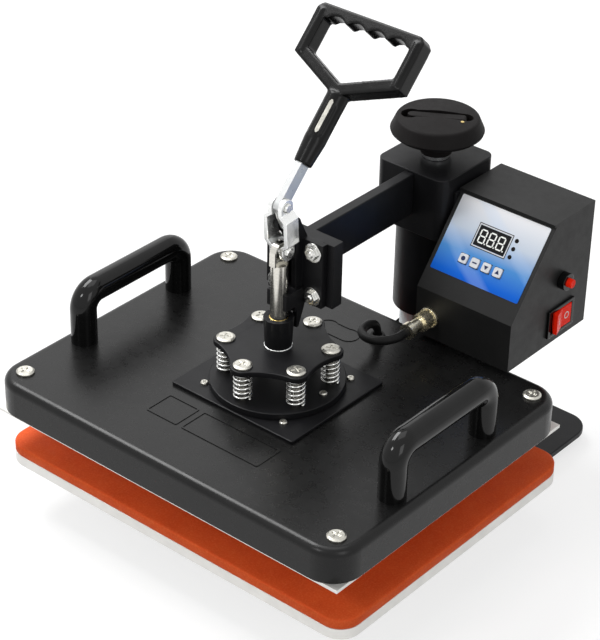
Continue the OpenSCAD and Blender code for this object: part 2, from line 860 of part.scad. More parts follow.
// frame carried along the path so that the tube does not twist
function carry(p, i) = i == 0 ? [0, 0, 1] :
    let (d = run_dir(p, i), u = carry(p, i - 1)) unit(u - (u * d) * d);
function ring(p, i, r, n) = let (d = run_dir(p, i), u = carry(p, i), v = cross(d, u))
    [for (k = [0:n - 1]) p[i] + r * (cos(360 * k / n) * u + sin(360 * k / n) * v)];
function tube_points(p, r, n) = [for (i = [0:len(p) - 1]) each ring(p, i, r, n)];
function tube_faces(m, n) = concat(
    [[for (k = [0:n - 1]) k]],
    [for (i = [0:m - 2]) for (k = [0:n - 1])
        [i * n + k, (i + 1) * n + k, (i + 1) * n + (k + 1) % n]],
    [for (i = [0:m - 2]) for (k = [0:n - 1])
        [i * n + k, (i + 1) * n + (k + 1) % n, i * n + (k + 1) % n]],
    [[for (k = [n - 1:-1:0]) (m - 1) * n + k]]
);

module heater_lead() color(gloss) placed()
    polyhedron(
        points = tube_points(lead_path, lead_r, lead_sides),
        faces = tube_faces(len(lead_path), lead_sides)
    );

module lead_grommet() color(gloss) placed() translate([grommet_x, grommet_y, cover_top]) difference() {
    union() {
        cylinder(r1 = lead_r + 3 * grommet_wall, r2 = lead_r + 2 * grommet_wall, h = grommet_rim);
        cylinder(r1 = lead_r + 2 * grommet_wall, r2 = lead_r + grommet_wall, h = grommet_h);
    }
    translate([0, 0, -1]) cylinder(r = lead_r + side_gap, h = grommet_h + 2);
}

inlet_depth = 22;
inlet_t = 2;
inlet_rim = 3;
inlet_floor = 4;
blade_pitch = 7;
blade_up = 2.5;
blade_t = 2;
blade_w = 4;
blade_len = 14;
module mains_inlet() color(gloss) placed() translate([inlet_x, box_back, inlet_z]) {
    difference() {
        union() {
            translate([0, inlet_t / 2, 0])
                cube([inlet_w + 4 * inlet_rim, inlet_t, inlet_h + 2 * inlet_rim], center = true);
            translate([0, -inlet_depth / 2, 0])
                cube([inlet_w - 4 * fit, inlet_depth + eps, inlet_h - 4 * fit], center = true);
        }
        translate([0, inlet_floor - inlet_depth / 2, 0])
            cube([inlet_w - 2 * inlet_t, inlet_depth, inlet_h - 2 * inlet_t], center = true);
    }
    for (i = [-1:1])
        translate([i * blade_pitch, inlet_floor - inlet_depth, (i == 0 ? 1 : -1) * blade_up])
            cube([blade_t, blade_len, blade_w], center = true);
}

// Height knob

screw_low = arm_z0 - 2;
screw_in = 12;
screw_collar = 4;
module height_screw() color(steel) placed() column_at() {
    translate([0, 0, screw_low]) cylinder(r = screw_r, h = knob_z + hub_h + screw_in - screw_low);
    translate([0, 0, knob_z]) cylinder(r = screw_r + screw_collar, h = hub_h);
}

knob_low = knob_z + hub_h;
knob_top = knob_low + knob_h;
// cap outline: round under its widest ring, leaning in to a round rim, low crown
cap_low = knob_h - cap_h;
cap_wide = cap_low + cap_h / 3;
cap_crown = 2.5;
cap_lean = 4;
under_r = knob_r * 0.55;
rim_round = 3.5;
rim_mid = [knob_r - cap_lean - rim_round, knob_h - cap_crown - rim_round];
function cap_under(a) = [under_r + (knob_r - under_r) * sin(a), cap_wide - (cap_wide - cap_low) * cos(a)];
function cap_rim(a) = rim_mid + rim_round * [cos(a), sin(a)];
cap_outline = concat(
    [[0, 0], [knob_neck_r, 0], [knob_neck_r, cap_low]],
    [for (a = [0:15:90]) cap_under(a)], [for (a = [15:15:90]) cap_rim(a)], [[0, knob_h]]
);
slot_z0 = knob_top - slot_d;
crank_w = slot_w - 4;
crank_x = 22;
crank_end = 9 - slot_len / 2;
crank_pin_r = 1.5;
crank_pin_len = slot_w + 8;
boss_r = 3.3;
boss_gap = 0.5;
crank_pin_z = slot_z0 + boss_gap + boss_r;
keeper_r = 1.6;
keeper_y = slot_w / 2 + 3;
keeper_down = 1.4;
thumb_x = 7 - slot_len / 2;
thumb_r = slot_w / 2 + 2;
module knob_at() placed() column_at() rotate(slot_deg) children();

module knob() color(black) knob_at() difference() {
    translate([0, 0, knob_low]) rotate_extrude() polygon(cap_outline);
    translate([0, 0, knob_z]) cylinder(r = screw_r, h = hub_h + screw_in);
    translate([0, 0, slot_z0]) linear_extrude(height = knob_h) {
        square([slot_len - slot_w, slot_w], center = true);
        for (s = [-1, 1]) translate([s * (slot_len - slot_w) / 2, 0]) circle(slot_w / 2);
        translate([thumb_x, 0]) circle(thumb_r);
    }
    translate([crank_x, 0, crank_pin_z]) rod_y(crank_pin_r, crank_pin_len + 2);
    translate([crank_x, -keeper_y, crank_pin_z]) cylinder(r = keeper_r, h = knob_h);
}

// cross pin, and the stud in the knob's top that keeps it
module crank_pin() color([0.8, 0.6, 0.25]) knob_at() translate([crank_x, 0, crank_pin_z]) {
    rod_y(crank_pin_r - 2 * eps, crank_pin_len);
    translate([0, -keeper_y, 0])
        cylinder(r = keeper_r - 2 * eps, h = knob_top - keeper_down - crank_pin_z);
}

module knob_crank() color(black) knob_at() difference() {
    union() {
        translate([crank_x, 0, crank_pin_z]) rod_y(boss_r, crank_w);
        translate([crank_end, -crank_w / 2, crank_pin_z - boss_r])
            cube([crank_x - crank_end, crank_w, 2 * boss_r]);
        translate([crank_end, 0, crank_pin_z - boss_r]) cylinder(r = crank_w / 2, h = 2 * boss_r);
    }
    translate([crank_x, 0, crank_pin_z]) rod_y(crank_pin_r + run, slot_w);
}

// Lever and links

module pin_b_at() translate([0, 0, pin_b_z]) children();

// lever bar's reach into the grip
tang = 34;
module lever_bar() color(zinc) placed() pin_b_at() difference() {
    yz(tongue_t) {
        bar2([0, 0], [pivot_y, pivot_z - pin_b_z], lever_w);
        bar2([0, 0], (lever_show + tang - lever_w / 2) * [sin(lever_lean), cos(lever_lean)], lever_w);
    }
    rod_x(pin_r, 4 * tongue_t);
    translate([0, pivot_y, pivot_z - pin_b_z]) rod_x(pin_r + run, 4 * tongue_t);
}

// x across, z along the lever, y through the grip
module grip_at() pin_b_at() rotate([-lever_lean, 0, 0]) translate([0, 0, lever_show]) children();

// loop with six sides: top rail, two side bars and two bars that slope to the stem
loop_x = grip_w / 2;
loop_low = grip_len * 0.64;
loop_foot = grip_len * 0.46;
loop_cut = 4.5;
slope = (loop_low - loop_foot) / loop_x;
rail_w = grip_bar * 1.05;
hole_x = loop_x - grip_bar;
hole_low = loop_foot + slope * hole_x + grip_bar * 1.1;
hole_foot = loop_foot + grip_bar * 1.1;
hole_top = grip_len - rail_w * 1.09;
// finger hollows side by side across the hole
finger_pitch = hole_x / 2.13;
finger_r = finger_pitch * 0.6;
finger_rail = rail_w * 0.72;
ferrule_h = 22;
ferrule_r = norm([lever_w / 2, tongue_t / 2]) + 1.2;
flute_r = 1.2;
flute_deg = 45;
rib_wide = 3.4;
rib_tall = 1;
module loop_outline() {
    difference() {
        polygon([
            [loop_cut - loop_x, grip_len], [loop_x - loop_cut, grip_len], [loop_x, grip_len - loop_cut],
            [loop_x, loop_low], [0, loop_foot], [-loop_x, loop_low], [-loop_x, grip_len - loop_cut]
        ]);
        polygon([
            [-hole_x, hole_top], [hole_x, hole_top],
            [hole_x, hole_low], [0, hole_foot], [-hole_x, hole_low]
        ]);
        for (i = [-1.5:1:1.5])
            translate([i * finger_pitch, grip_len - finger_rail - finger_r]) circle(finger_r);
    }
}

// ribs run along the side bars on both faces
module side_ribs() for (s = [-1, 1])
    translate([s * (loop_x - grip_bar / 2) - rib_wide / 2, -grip_t / 2 - rib_tall, loop_low])
        cube([rib_wide, grip_t + 2 * rib_tall, grip_len - loop_low - rail_w / 2]);

module lever_grip() color(gloss) placed() grip_at() difference() {
    union() {
        xz(grip_t) loop_outline();
        side_ribs();
        cylinder(r1 = ferrule_r, r2 = stem_r, h = ferrule_h);
        translate([0, 0, ferrule_h]) cylinder(r = stem_r, h = loop_foot + rib_wide - ferrule_h);
    }
    cube([tongue_t + 2 * run, lever_w + 2 * run, 2 * (tang + free)], center = true);
    for (a = [flute_deg:2 * flute_deg:360])
        rotate(a) translate([stem_r, 0, ferrule_h + rib_wide])
            cylinder(r = flute_r, h = loop_foot - ferrule_h - 3 * rib_wide);
}

pin_head_h = 1.8;
link_in = tongue_t / 2 + side_gap;
link_out = link_in + link_t;
module link_pin() color(zinc) placed() pin_b_at() {
    rod_x(pin_r, 2 * (link_out + side_gap) + eps);
    for (s = [0, 1])
        mirror([s, 0, 0]) translate([link_out + side_gap, 0, 0]) rotate([0, 90, 0])
            crowned(pin_head_r, pin_head_h);
}

// x out of the plate, z along the link from the upper pin down
bow_out = ear_in + ear_t + 2 * free - link_in;
bow_a = link_end_r - 1;
bow_run = 4.5;
bow_b = bow_a + bow_run;
bow_skin = 1.5;
link_cut = 4 * (link_out + bow_out);
module link_at() pin_b_at() rotate([link_deg, 0, 0]) children();

module one_link() {
    low = link_len + link_end_r;
    difference() {
        intersection() {
            xz(4 * link_bow_w) polygon([
                [link_in, link_end_r], [link_in, -bow_a], [link_in + bow_out, -bow_b],
                [link_in + bow_out, bow_b - link_len], [link_in, bow_a - link_len], [link_in, -low],
                [link_out, -low], [link_out, bow_a - link_len - bow_skin],
                [link_out + bow_out, bow_b - link_len - bow_skin], [link_out + bow_out, bow_skin - bow_b],
                [link_out, bow_skin - bow_a], [link_out, link_end_r]
            ]);
            yz(link_cut) {
                bar2([0, 0], [0, -link_len], 2 * link_end_r);
                translate([-link_bow_w, bow_b - link_len]) square([2 * link_bow_w, link_len - 2 * bow_b]);
                polygon([[-link_end_r, 0], [link_end_r, 0], [link_bow_w, -bow_b], [-link_bow_w, -bow_b]]);
                polygon([[-link_end_r, -link_len], [link_end_r, -link_len],
                    [link_bow_w, bow_b - link_len], [-link_bow_w, bow_b - link_len]]);
            }
        }
        rod_x(pin_r + run, link_cut);
        translate([0, 0, -link_len]) rod_x(pin_r, link_cut);
    }
}

module link_plates() color(zinc) placed() link_at()
    for (s = [0, 1]) mirror([s, 0, 0]) one_link();

module tongue_pin() color(zinc) placed() link_at() translate([0, 0, -link_len]) {
    rod_x(pin_r, 2 * link_out + eps);
    for (s = [0, 1])
        mirror([s, 0, 0]) translate([link_out, 0, 0]) rotate([0, 90, 0]) crowned(pin_head_r, pin_head_h);
}

// Plunger

socket_floor = 4;
rod_low = flower_top + socket_floor;
mouth_d = 1.2;
mouth_gap = 0.8;
module plunger_rod() color(steel) placed() difference() {
    union() {
        translate([0, 0, rod_low]) cylinder(r = rod_r, h = rod_top - rod_low);
        yz(tongue_t) {
            translate([-tongue_w / 2, rod_top]) square([tongue_w, pin_c_z - rod_top]);
            translate([0, pin_c_z]) circle(tongue_w / 2);
        }
    }
    yz(4 * tongue_t) translate([0, pin_c_z])
        square([2 * (pin_r + slot_y), 2 * (pin_r + slot_z)], center = true);
}

module rod_socket() color(black) placed() translate([0, 0, flower_top]) difference() {
    cylinder(r1 = socket_r1, r2 = socket_r2, h = socket_h);
    translate([0, 0, socket_floor]) cylinder(r = rod_r, h = socket_h);
    translate([0, 0, socket_h - mouth_d]) cylinder(r = rod_r + mouth_gap, h = socket_h);
}

module bolt_spots() for (a = [30:60:330]) rotate(a) translate([bolt_pcd_r, 0, 0]) children();

// hollows between the lobes run into them: circles on notch_c, a hair deeper than just touching
half_step = 30;
notch_deep = 0.1;
lobe_in = waist_r - lobe_r;
notch_dir = [cos(half_step), sin(half_step)];
notch_c = (pow(bolt_pcd_r, 2) - pow(lobe_in, 2)) / (2 * (bolt_pcd_r * cos(half_step) - lobe_in));
notch_r = notch_c - waist_r;
touch = (bolt_pcd_r * notch_r * [1, 0] + notch_c * lobe_r * notch_dir) / (notch_r + lobe_r);
module flower_plate() color(black) placed() translate([0, 0, flower_z]) difference() {
    linear_extrude(height = flower_t) {
        circle(norm(touch));
        bolt_spots() circle(lobe_r);
    }
    for (a = [0:2 * half_step:300])
        rotate(a) translate([notch_c, 0, -1]) cylinder(r = notch_r + notch_deep, h = flower_t + 2);
    translate([0, 0, -1]) bolt_spots() cylinder(r = bolt_r + free, h = flower_t + 2);
}

// Spring mount and head

// coil points: a straight end, turns with flat first and last, a straight end
coil_n = 8;
coil_sides = 6;
coil_steps = spring_turns * coil_n;
wire_gap = wire_r + run;
coil_rise = spring_h - 2 * wire_gap;
flat_turns = 0.75;
function climb(q) = let (t = q * spring_turns, m = spring_turns - 2 * flat_turns, f = 2 * wire_r + 0.5)
    t < flat_turns ? f * t / flat_turns :
    t > spring_turns - flat_turns ? coil_rise - f * (spring_turns - t) / flat_turns :
    f + (coil_rise - 2 * f) * (t - flat_turns) / m;
function coil_at(i) = let (q = i / coil_steps, a = 360 * spring_turns * q)
    [spring_r * cos(a), spring_r * sin(a), wire_gap + climb(q)];
coil_mid = [for (i = [0:coil_steps]) coil_at(i)];
end_dir = [-sin(360 * spring_turns), cos(360 * spring_turns), 0];
coil_path = concat(
    [coil_mid[0] - 2 * wire_r * [0, 1, 0]], coil_mid, [coil_mid[coil_steps] + 2 * wire_r * end_dir]
);
coil_gaps = [
    for (i = [0:len(coil_path) - 1]) for (j = [i + 5:1:len(coil_path) - 1])
        norm(coil_path[i] - coil_path[j]) - 2 * wire_r
];
echo(least_coil_gap = min(coil_gaps));
module float_springs() color(zinc) placed() translate([0, 0, disc_top])
    for (a = [30:60:330])
        translate([bolt_pcd_r * cos(a), bolt_pcd_r * sin(a), 0])
            polyhedron(
                points = tube_points(coil_path, wire_r, coil_sides),
                faces = tube_faces(len(coil_path), coil_sides)
            );

module spring_bolts() color(zinc) placed() bolt_spots() {
    translate([0, 0, disc_top]) cylinder(r = bolt_r, h = flower_top + 2 * run - disc_top);
    translate([0, 0, flower_top + run]) pan_head(bolt_head_r, bolt_head_h);
}

module spring_disc() color(black) placed() translate([0, 0, plate_top]) cylinder(r = disc_r, h = disc_t);

plate_r = 2;
module square_plate() color(black) placed() translate([0, 0, cover_top])
    slab(plate_w, plate_d, plate_r, plate_t);

small_r = 3.4;
small_h = 2.2;
small_gap = 0.4;
plate_screw = (disc_r + small_r + small_gap) / sqrt(2);
earth_x = 47;
earth_y = 4;
module plate_screws() color(zinc) placed() {
    for (sx = [-1, 1])
        for (sy = [-1, 1])
            translate([sx * plate_screw, sy * plate_screw, plate_top]) pan_head(small_r, small_h);
    translate([earth_x, earth_y, disc_top]) pan_head(small_r, small_h);
}

// raised bare frames on the cover
frame_t = 0.6;
frame_line = 1.4;
sign_w = 34;
text_w = 84;
label_d = 30;
label_r = 2;
sign_x = -40;
text_x = 24;
label_y = -87;
oval_w = 44;
oval_d = 20;
oval_x = -16;
oval_y = 100;
module label_frame(w, d, r) linear_extrude(height = frame_t + eps) difference() {
    rrect(w, d, r);
    rrect(w - 2 * frame_line, d - 2 * frame_line, r - frame_line / 2);
}

// slab that fills the cover's inside but for a gap
module in_cover(gap, h) slab(
    cover_w - 2 * (cover_wall + gap), cover_d - 2 * (cover_wall + gap), cover_r - cover_wall - gap, h
);

module head_cover() color(black) placed() {
    difference() {
        translate([0, 0, cover_z]) soft_slab(cover_w, cover_d, cover_h, cover_r, cover_edge);
        translate([0, 0, cover_z - 1]) in_cover(0, cover_h - cover_wall + 1);
    }
    translate([sign_x, label_y, cover_top - eps]) label_frame(sign_w, label_d, label_r);
    translate([text_x, label_y, cover_top - eps]) label_frame(text_w, label_d, label_r);
    translate([oval_x, oval_y, cover_top - eps]) label_frame(oval_w, oval_d, oval_d / 2 - fit);
}

cover_screw_h = 2.8;
module cover_screws() color(zinc) placed()
    for (sx = [-1, 1])
        for (sy = [-1, 1])
            translate([sx * (cover_w / 2 - cover_screw_in_x), sy * (cover_d / 2 - cover_screw_in_y), 0])
                translate([0, 0, cover_top]) pan_head(cover_screw_r, cover_screw_h);

// round bar bent into a bow, feet on the cover
handle_x = cover_w / 2 - handle_in;
module one_handle() translate([handle_x, 0, cover_top]) {
    leg = handle_h - handle_bend;
    half = handle_span / 2;
    for (s = [0, 1])
        mirror([0, s, 0]) {
            translate([0, half, 0]) cylinder(r = handle_r, h = leg);
            translate([0, half - handle_bend, leg]) rotate([90, 0, 90]) rotate_extrude(angle = 90)
                translate([handle_bend, 0]) circle(handle_r);
        }
    translate([0, 0, handle_h]) rod_y(handle_r, 2 * (half - handle_bend));
}

module handle_right() color(gloss) placed() one_handle();

module handle_left() color(gloss) placed() mirror([1, 0, 0]) one_handle();

heat_in = 3;
wool_in = 2;
module heat_platen() color(alu) placed() {
    translate([-platen_w / 2, -platen_d / 2, heat_z]) cube([platen_w, platen_d, heat_lip]);
    translate([0, 0, cover_z - eps]) in_cover(heat_in, heat_core + eps);
}

module insulation() color([0.85, 0.83, 0.75]) placed() translate([0, 0, cover_z + heat_core])
    in_cover(wool_in, cover_h - cover_wall - heat_core);

base_plate();
rubber_feet();
column_post();
post_foot();
post_bolts();
platen_stand();
stand_bolts();
lower_platen();
silicone_pad();
swivel_nut();
swing_sleeve();
head_block();
arm_bar();
end_plate();
guide_bracket();
bracket_bolts();
lever_pivot();
box_hanger();
box_shell();
box_back_cover();
panel_overlay();
circuit_board();
display();
lamps();
rocker_bezel();
breaker_body();
lead_socket();
lead_plug();
heater_lead();
mains_inlet();
key_1();
key_2();
key_3();
key_4();
rocker();
breaker_button();
height_screw();
knob();
crank_pin();
knob_crank();
lever_bar();
lever_grip();
link_pin();
link_plates();
tongue_pin();
plunger_rod();
rod_socket();
flower_plate();
float_springs();
spring_bolts();
spring_disc();
square_plate();
plate_screws();
head_cover();
cover_screws();
handle_left();
handle_right();
heat_platen();
insulation();
lead_grommet();
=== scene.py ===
"""Looks of the swing-away heat press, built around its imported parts.

Metres, +Z up, -Y towards the operator. Lengths of pieces are written in millimetres,
measured from the plunger's axis, and go through at() into the shared frame. The camera,
the lamps and the textures are in metres.
"""

import math

import bpy
from mathutils import Matrix, Vector


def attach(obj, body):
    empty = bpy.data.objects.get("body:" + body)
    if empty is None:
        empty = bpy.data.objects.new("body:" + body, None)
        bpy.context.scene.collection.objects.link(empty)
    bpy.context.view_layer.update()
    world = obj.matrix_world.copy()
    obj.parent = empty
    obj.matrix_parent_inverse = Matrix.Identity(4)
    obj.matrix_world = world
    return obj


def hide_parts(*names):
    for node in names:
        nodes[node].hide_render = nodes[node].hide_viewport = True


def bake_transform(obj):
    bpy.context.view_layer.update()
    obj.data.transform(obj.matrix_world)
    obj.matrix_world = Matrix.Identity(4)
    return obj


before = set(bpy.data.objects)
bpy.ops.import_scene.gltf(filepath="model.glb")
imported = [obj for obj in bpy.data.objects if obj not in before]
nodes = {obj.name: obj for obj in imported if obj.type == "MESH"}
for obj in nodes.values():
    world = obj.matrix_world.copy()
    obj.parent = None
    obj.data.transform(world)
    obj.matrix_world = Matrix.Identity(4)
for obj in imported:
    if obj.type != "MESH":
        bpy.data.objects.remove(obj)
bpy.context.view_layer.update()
scene = bpy.context.scene

MM = 0.001
# the plunger's axis lies this far in front of the frame's origin
AXIS_Y = -66.5


def at(x, y, z):
    """A point in millimetres from the plunger's axis, in the shared frame."""
    return Vector((x * MM, (y + AXIS_Y) * MM, z * MM))


def rotation(degrees, axis):
    return Matrix.Rotation(math.radians(degrees), 4, axis)


# Camera at the photograph's view

IMAGE_H = 640
SENSOR = 36.0
FOCAL_PX = 2215.1559
AZIMUTH = math.radians(39.6415)
ELEVATION = math.radians(32.0965)
ROLL = math.radians(1.254)
DISTANCE = 1.9441795
TARGET = Vector((-0.0384544, 0.0078403, 0.150))
CLIP_NEAR = 0.05
CLIP_FAR = 60.0


def add_camera():
    back = Vector((
        math.sin(AZIMUTH) * math.cos(ELEVATION),
        -math.cos(AZIMUTH) * math.cos(ELEVATION),
        math.sin(ELEVATION),
    ))
    level = Vector((math.cos(AZIMUTH), math.sin(AZIMUTH), 0.0))
    up = back.cross(level)
    side = level * math.cos(ROLL) + up * math.sin(ROLL)
    top = up * math.cos(ROLL) - level * math.sin(ROLL)
    data = bpy.data.cameras.new("camera")
    data.sensor_fit = "VERTICAL"
    data.sensor_height = SENSOR
    data.lens = FOCAL_PX * SENSOR / IMAGE_H
    data.clip_start = CLIP_NEAR
    data.clip_end = CLIP_FAR
    camera = bpy.data.objects.new("camera", data)
    scene.collection.objects.link(camera)
    turn = Matrix((side, top, back)).transposed().to_4x4()
    camera.matrix_world = Matrix.Translation(TARGET + back * DISTANCE) @ turn
    scene.camera = camera


add_camera()


# Materials

WHITE = (1.0, 1.0, 1.0, 1.0)


def grey(level):
    return (level, level, level)


def preset(node, values):
    """Sets a node's inputs by their names."""
    for name, value in values.items():
        node.inputs[name].default_value = value


class Graph:
    """One material's nodes, with short calls for those used here."""

    def __init__(self, name):
        self.material = bpy.data.materials.new(name)
        self.material.use_nodes = True
        self.tree = self.material.node_tree
        self.shader = self.tree.nodes["Principled BSDF"]
        self.place = self.add("ShaderNodeTexCoord").outputs["Object"]

    def add(self, kind, **settings):
        node = self.tree.nodes.new(kind)
        for key, value in settings.items():
            setattr(node, key, value)
        return node

    def link(self, source, target):
        self.tree.links.new(source, target)

    def stretched(self, scale):
        node = self.add("ShaderNodeMapping")
        self.link(self.place, node.inputs["Vector"])
        preset(node, {"Scale": scale})
        return node.outputs["Vector"]

    def noise(self, scale, detail=3.0, rough=0.5, place=None):
        node = self.add("ShaderNodeTexNoise")
        self.link(place or self.place, node.inputs["Vector"])
        preset(node, {"Scale": scale, "Detail": detail, "Roughness": rough})
        return node.outputs["Fac"]

    def ramp(self, value, stops):
        node = self.add("ShaderNodeValToRGB")
        self.link(value, node.inputs["Fac"])
        elements = node.color_ramp.elements
        while len(elements) < len(stops):
            elements.new(0.5)
        for element, (place, color) in zip(elements, stops):
            element.position = place
            element.color = (*color, 1.0)
        return node.outputs["Color"]

    def span(self, value, low, high, start=0.3, end=0.7):
        """Maps start to end of a value onto low to high."""
        node = self.add("ShaderNodeMapRange")
        self.link(value, node.inputs["Value"])
        preset(node, {"From Min": start, "From Max": end, "To Min": low, "To Max": high})
        return node.outputs["Result"]

    def axis(self, name):
        node = self.add("ShaderNodeSeparateXYZ")
        self.link(self.place, node.inputs["Vector"])
        return node.outputs[name]

    def mix(self, factor, a, b):
        node = self.add("ShaderNodeMix", data_type="RGBA")
        self.link(factor, node.inputs["Factor"])
        colors = [s for s in node.inputs if s.type == "RGBA"]
        for socket, value in zip(colors, (a, b)):
            if isinstance(value, tuple):
                socket.default_value = (*value, 1.0)
            else:
                self.link(value, socket)
        return [s for s in node.outputs if s.type == "RGBA"][0]

    def color(self, source):
        self.link(source, self.shader.inputs["Base Color"])

    def gloss(self, value, low, high):
        """Roughness that drifts from low to high."""
        self.link(self.span(value, low, high), self.shader.inputs["Roughness"])

    def bump(self, height, strength, distance):
        node = self.add("ShaderNodeBump")
        self.link(height, node.inputs["Height"])
        preset(node, {"Strength": strength, "Distance": distance})
        self.link(node.outputs["Normal"], self.shader.inputs["Normal"])

    def set(self, **values):
        preset(self.shader, {key.replace("_", " "): value for key, value in values.items()})


def surface(
        name, low, high, rough, cloud=40.0, grain=1200.0, depth=0.12, stretch=None, **sockets):
    """A finish whose colour and gloss drift over the surface, with a fine grain."""
    g = Graph(name)
    place = g.stretched(stretch) if stretch else g.place
    drift = g.noise(cloud, detail=4.0, rough=0.6, place=place)
    g.color(g.ramp(drift, [(0.32, low), (0.68, high)]))
    scuff = g.noise(cloud * 4.0, detail=5.0, rough=0.65, place=place)
    g.gloss(scuff, *rough)
    g.bump(g.noise(grain, detail=2.0, place=place), strength=depth, distance=0.0004)
    g.set(**sockets)
    return g.material


def powder_coat(name, low, high, rough, shine):
    """Black stove enamel: orange peel, and a few pale dust specks."""
    g = Graph(name)
    drift = g.noise(25.0, detail=4.0, rough=0.6)
    base = g.ramp(drift, [(0.3, low), (0.7, high)])
    dust = g.noise(2600.0, detail=1.0, rough=0.4)
    fleck = g.span(dust, low=0.0, high=0.3, start=0.75, end=0.85)
    g.color(g.mix(fleck, base, grey(0.10)))
    g.gloss(g.noise(110.0, detail=5.0, rough=0.6), *rough)
    g.bump(g.noise(1150.0, detail=2.0), strength=0.06, distance=0.0005)
    g.set(Specular_IOR_Level=shine)
    return g.material


# heights between which the printed sheet runs from blue to pale grey
WASH_LOW = 0.192
WASH_HIGH = 0.262
WASH = [
    (0.0, (0.0015, 0.050, 0.47)), (0.22, (0.005, 0.125, 0.64)), (0.44, (0.073, 0.265, 0.62)),
    (0.66, (0.55, 0.62, 0.72)), (1.0, (0.86, 0.85, 0.86)),
]
BAND_BLUE = (0.50, 0.66, 0.90)


def panel_print():
    """Printed sheet: pale grey running into blue, with soft slanting bands."""
    g = Graph("panel_sheet")
    rise = g.span(g.axis("Z"), low=0.0, high=1.0, start=WASH_LOW, end=WASH_HIGH)
    waves = g.add("ShaderNodeTexWave", wave_type="BANDS", bands_direction="DIAGONAL")
    g.link(g.place, waves.inputs["Vector"])
    preset(waves, {"Scale": 9.0, "Distortion": 1.5, "Detail": 1.0})
    band = g.span(waves.outputs["Fac"], low=0.0, high=0.18, start=0.72, end=0.95)
    g.color(g.mix(band, g.ramp(rise, WASH), BAND_BLUE))
    g.gloss(g.noise(160.0, detail=4.0), 0.30, 0.40)
    g.bump(g.noise(2400.0, detail=1.0), strength=0.05, distance=0.0003)
    g.set(Specular_IOR_Level=0.1)
    return g.material


ORANGE_LOW = (0.76, 0.086, 0.014)
ORANGE_HIGH = (0.86, 0.116, 0.022)
SPECKLE_ORANGE = (0.95, 0.22, 0.06)
PORE_BROWN = (0.34, 0.03, 0.004)


def silicone_rubber():
    """Orange sponge rubber with pale speckle and dark pores."""
    g = Graph("silicone")
    drift = g.noise(35.0, detail=5.0, rough=0.6)
    base = g.ramp(drift, [(0.3, ORANGE_LOW), (0.7, ORANGE_HIGH)])
    speckle = g.noise(620.0, detail=3.0, rough=0.7)
    pale = g.span(speckle, low=0.0, high=0.55, start=0.45, end=0.75)
    pores = g.noise(1800.0, detail=2.0, rough=0.6)
    dark = g.span(pores, low=0.0, high=0.35, start=0.6, end=0.75)
    g.color(g.mix(dark, g.mix(pale, base, SPECKLE_ORANGE), PORE_BROWN))
    g.gloss(g.noise(90.0, detail=4.0), 0.55, 0.70)
    g.bump(pores, strength=0.25, distance=0.0006)
    g.set(Subsurface_Weight=0.06, Subsurface_Scale=0.003, Specular_IOR_Level=0.18)
    return g.material


def circuit_green():
    """Green board with paler tracks."""
    g = Graph("board")
    tracks = g.add("ShaderNodeTexBrick")
    g.link(g.place, tracks.inputs["Vector"])
    preset(tracks, {
        "Scale": 120.0,
        "Color1": (0.01, 0.10, 0.04, 1.0),
        "Color2": (0.015, 0.13, 0.05, 1.0),
        "Mortar": (0.04, 0.25, 0.10, 1.0),
    })
    g.color(tracks.outputs["Color"])
    g.gloss(g.noise(200.0), 0.35, 0.5)
    return g.material


METAL = {"Metallic": 1.0}
# grain drawn out round a turned piece
TURNED = (1.0, 1.0, 60.0)
satin_black = powder_coat(
    "satin_black", (0.006, 0.006, 0.007), (0.010, 0.010, 0.011), rough=(0.34, 0.44), shine=0.16)
cover_black = powder_coat(
    "cover_black", grey(0.004), grey(0.007), rough=(0.25, 0.32), shine=0.25)
box_black = powder_coat(
    "box_black", grey(0.009), grey(0.014), rough=(0.40, 0.50), shine=0.20)
gloss_black = surface(
    "gloss_black", grey(0.004), grey(0.007), rough=(0.07, 0.13),
    cloud=30.0, grain=500.0, depth=0.03, Specular_IOR_Level=0.25)
grip_black = surface(
    "grip_black", grey(0.003), grey(0.005), rough=(0.22, 0.28),
    cloud=30.0, grain=500.0, depth=0.02, Specular_IOR_Level=0.17)
matte_black = surface(
    "matte_black", (0.009, 0.008, 0.008), (0.011, 0.010, 0.010), rough=(0.50, 0.62),
    cloud=50.0, grain=2200.0, depth=0.22, Specular_IOR_Level=0.08)
rubber_black = surface(
    "rubber_black", grey(0.005), grey(0.009), rough=(0.42, 0.55),
    cloud=60.0, grain=1500.0, depth=0.2, Specular_IOR_Level=0.13)
zinc = surface(
    "zinc", (0.86, 0.87, 0.86), (0.92, 0.93, 0.92), rough=(0.27, 0.32),
    cloud=60.0, grain=2400.0, depth=0.03, Metallic=0.75)
bar_zinc = surface(
    "bar_zinc", (0.60, 0.61, 0.61), (0.66, 0.67, 0.67), rough=(0.27, 0.32),
    cloud=60.0, grain=2400.0, depth=0.03, Metallic=0.75)
link_zinc = surface(
    "link_zinc", (0.92, 0.93, 0.92), (0.97, 0.98, 0.97), rough=(0.20, 0.27),
    cloud=60.0, grain=2400.0, depth=0.03, Metallic=0.85)
bolt_zinc = surface(
    "bolt_zinc", (0.66, 0.66, 0.64), (0.84, 0.84, 0.82), rough=(0.14, 0.26),
    cloud=160.0, grain=1500.0, depth=0.10, **METAL)
screw_zinc = surface(
    "screw_zinc", (0.42, 0.41, 0.37), (0.60, 0.585, 0.53), rough=(0.26, 0.42),
    cloud=160.0, grain=1800.0, depth=0.14, **METAL)
nickel = surface(
    "nickel", (0.62, 0.60, 0.55), (0.74, 0.72, 0.66), rough=(0.13, 0.19),
    cloud=60.0, grain=90.0, depth=0.012, stretch=TURNED, **METAL)
plug_nickel = surface(
    "plug_nickel", (0.80, 0.73, 0.54), (0.93, 0.87, 0.69), rough=(0.22, 0.32),
    cloud=140.0, grain=900.0, depth=0.04, **METAL)
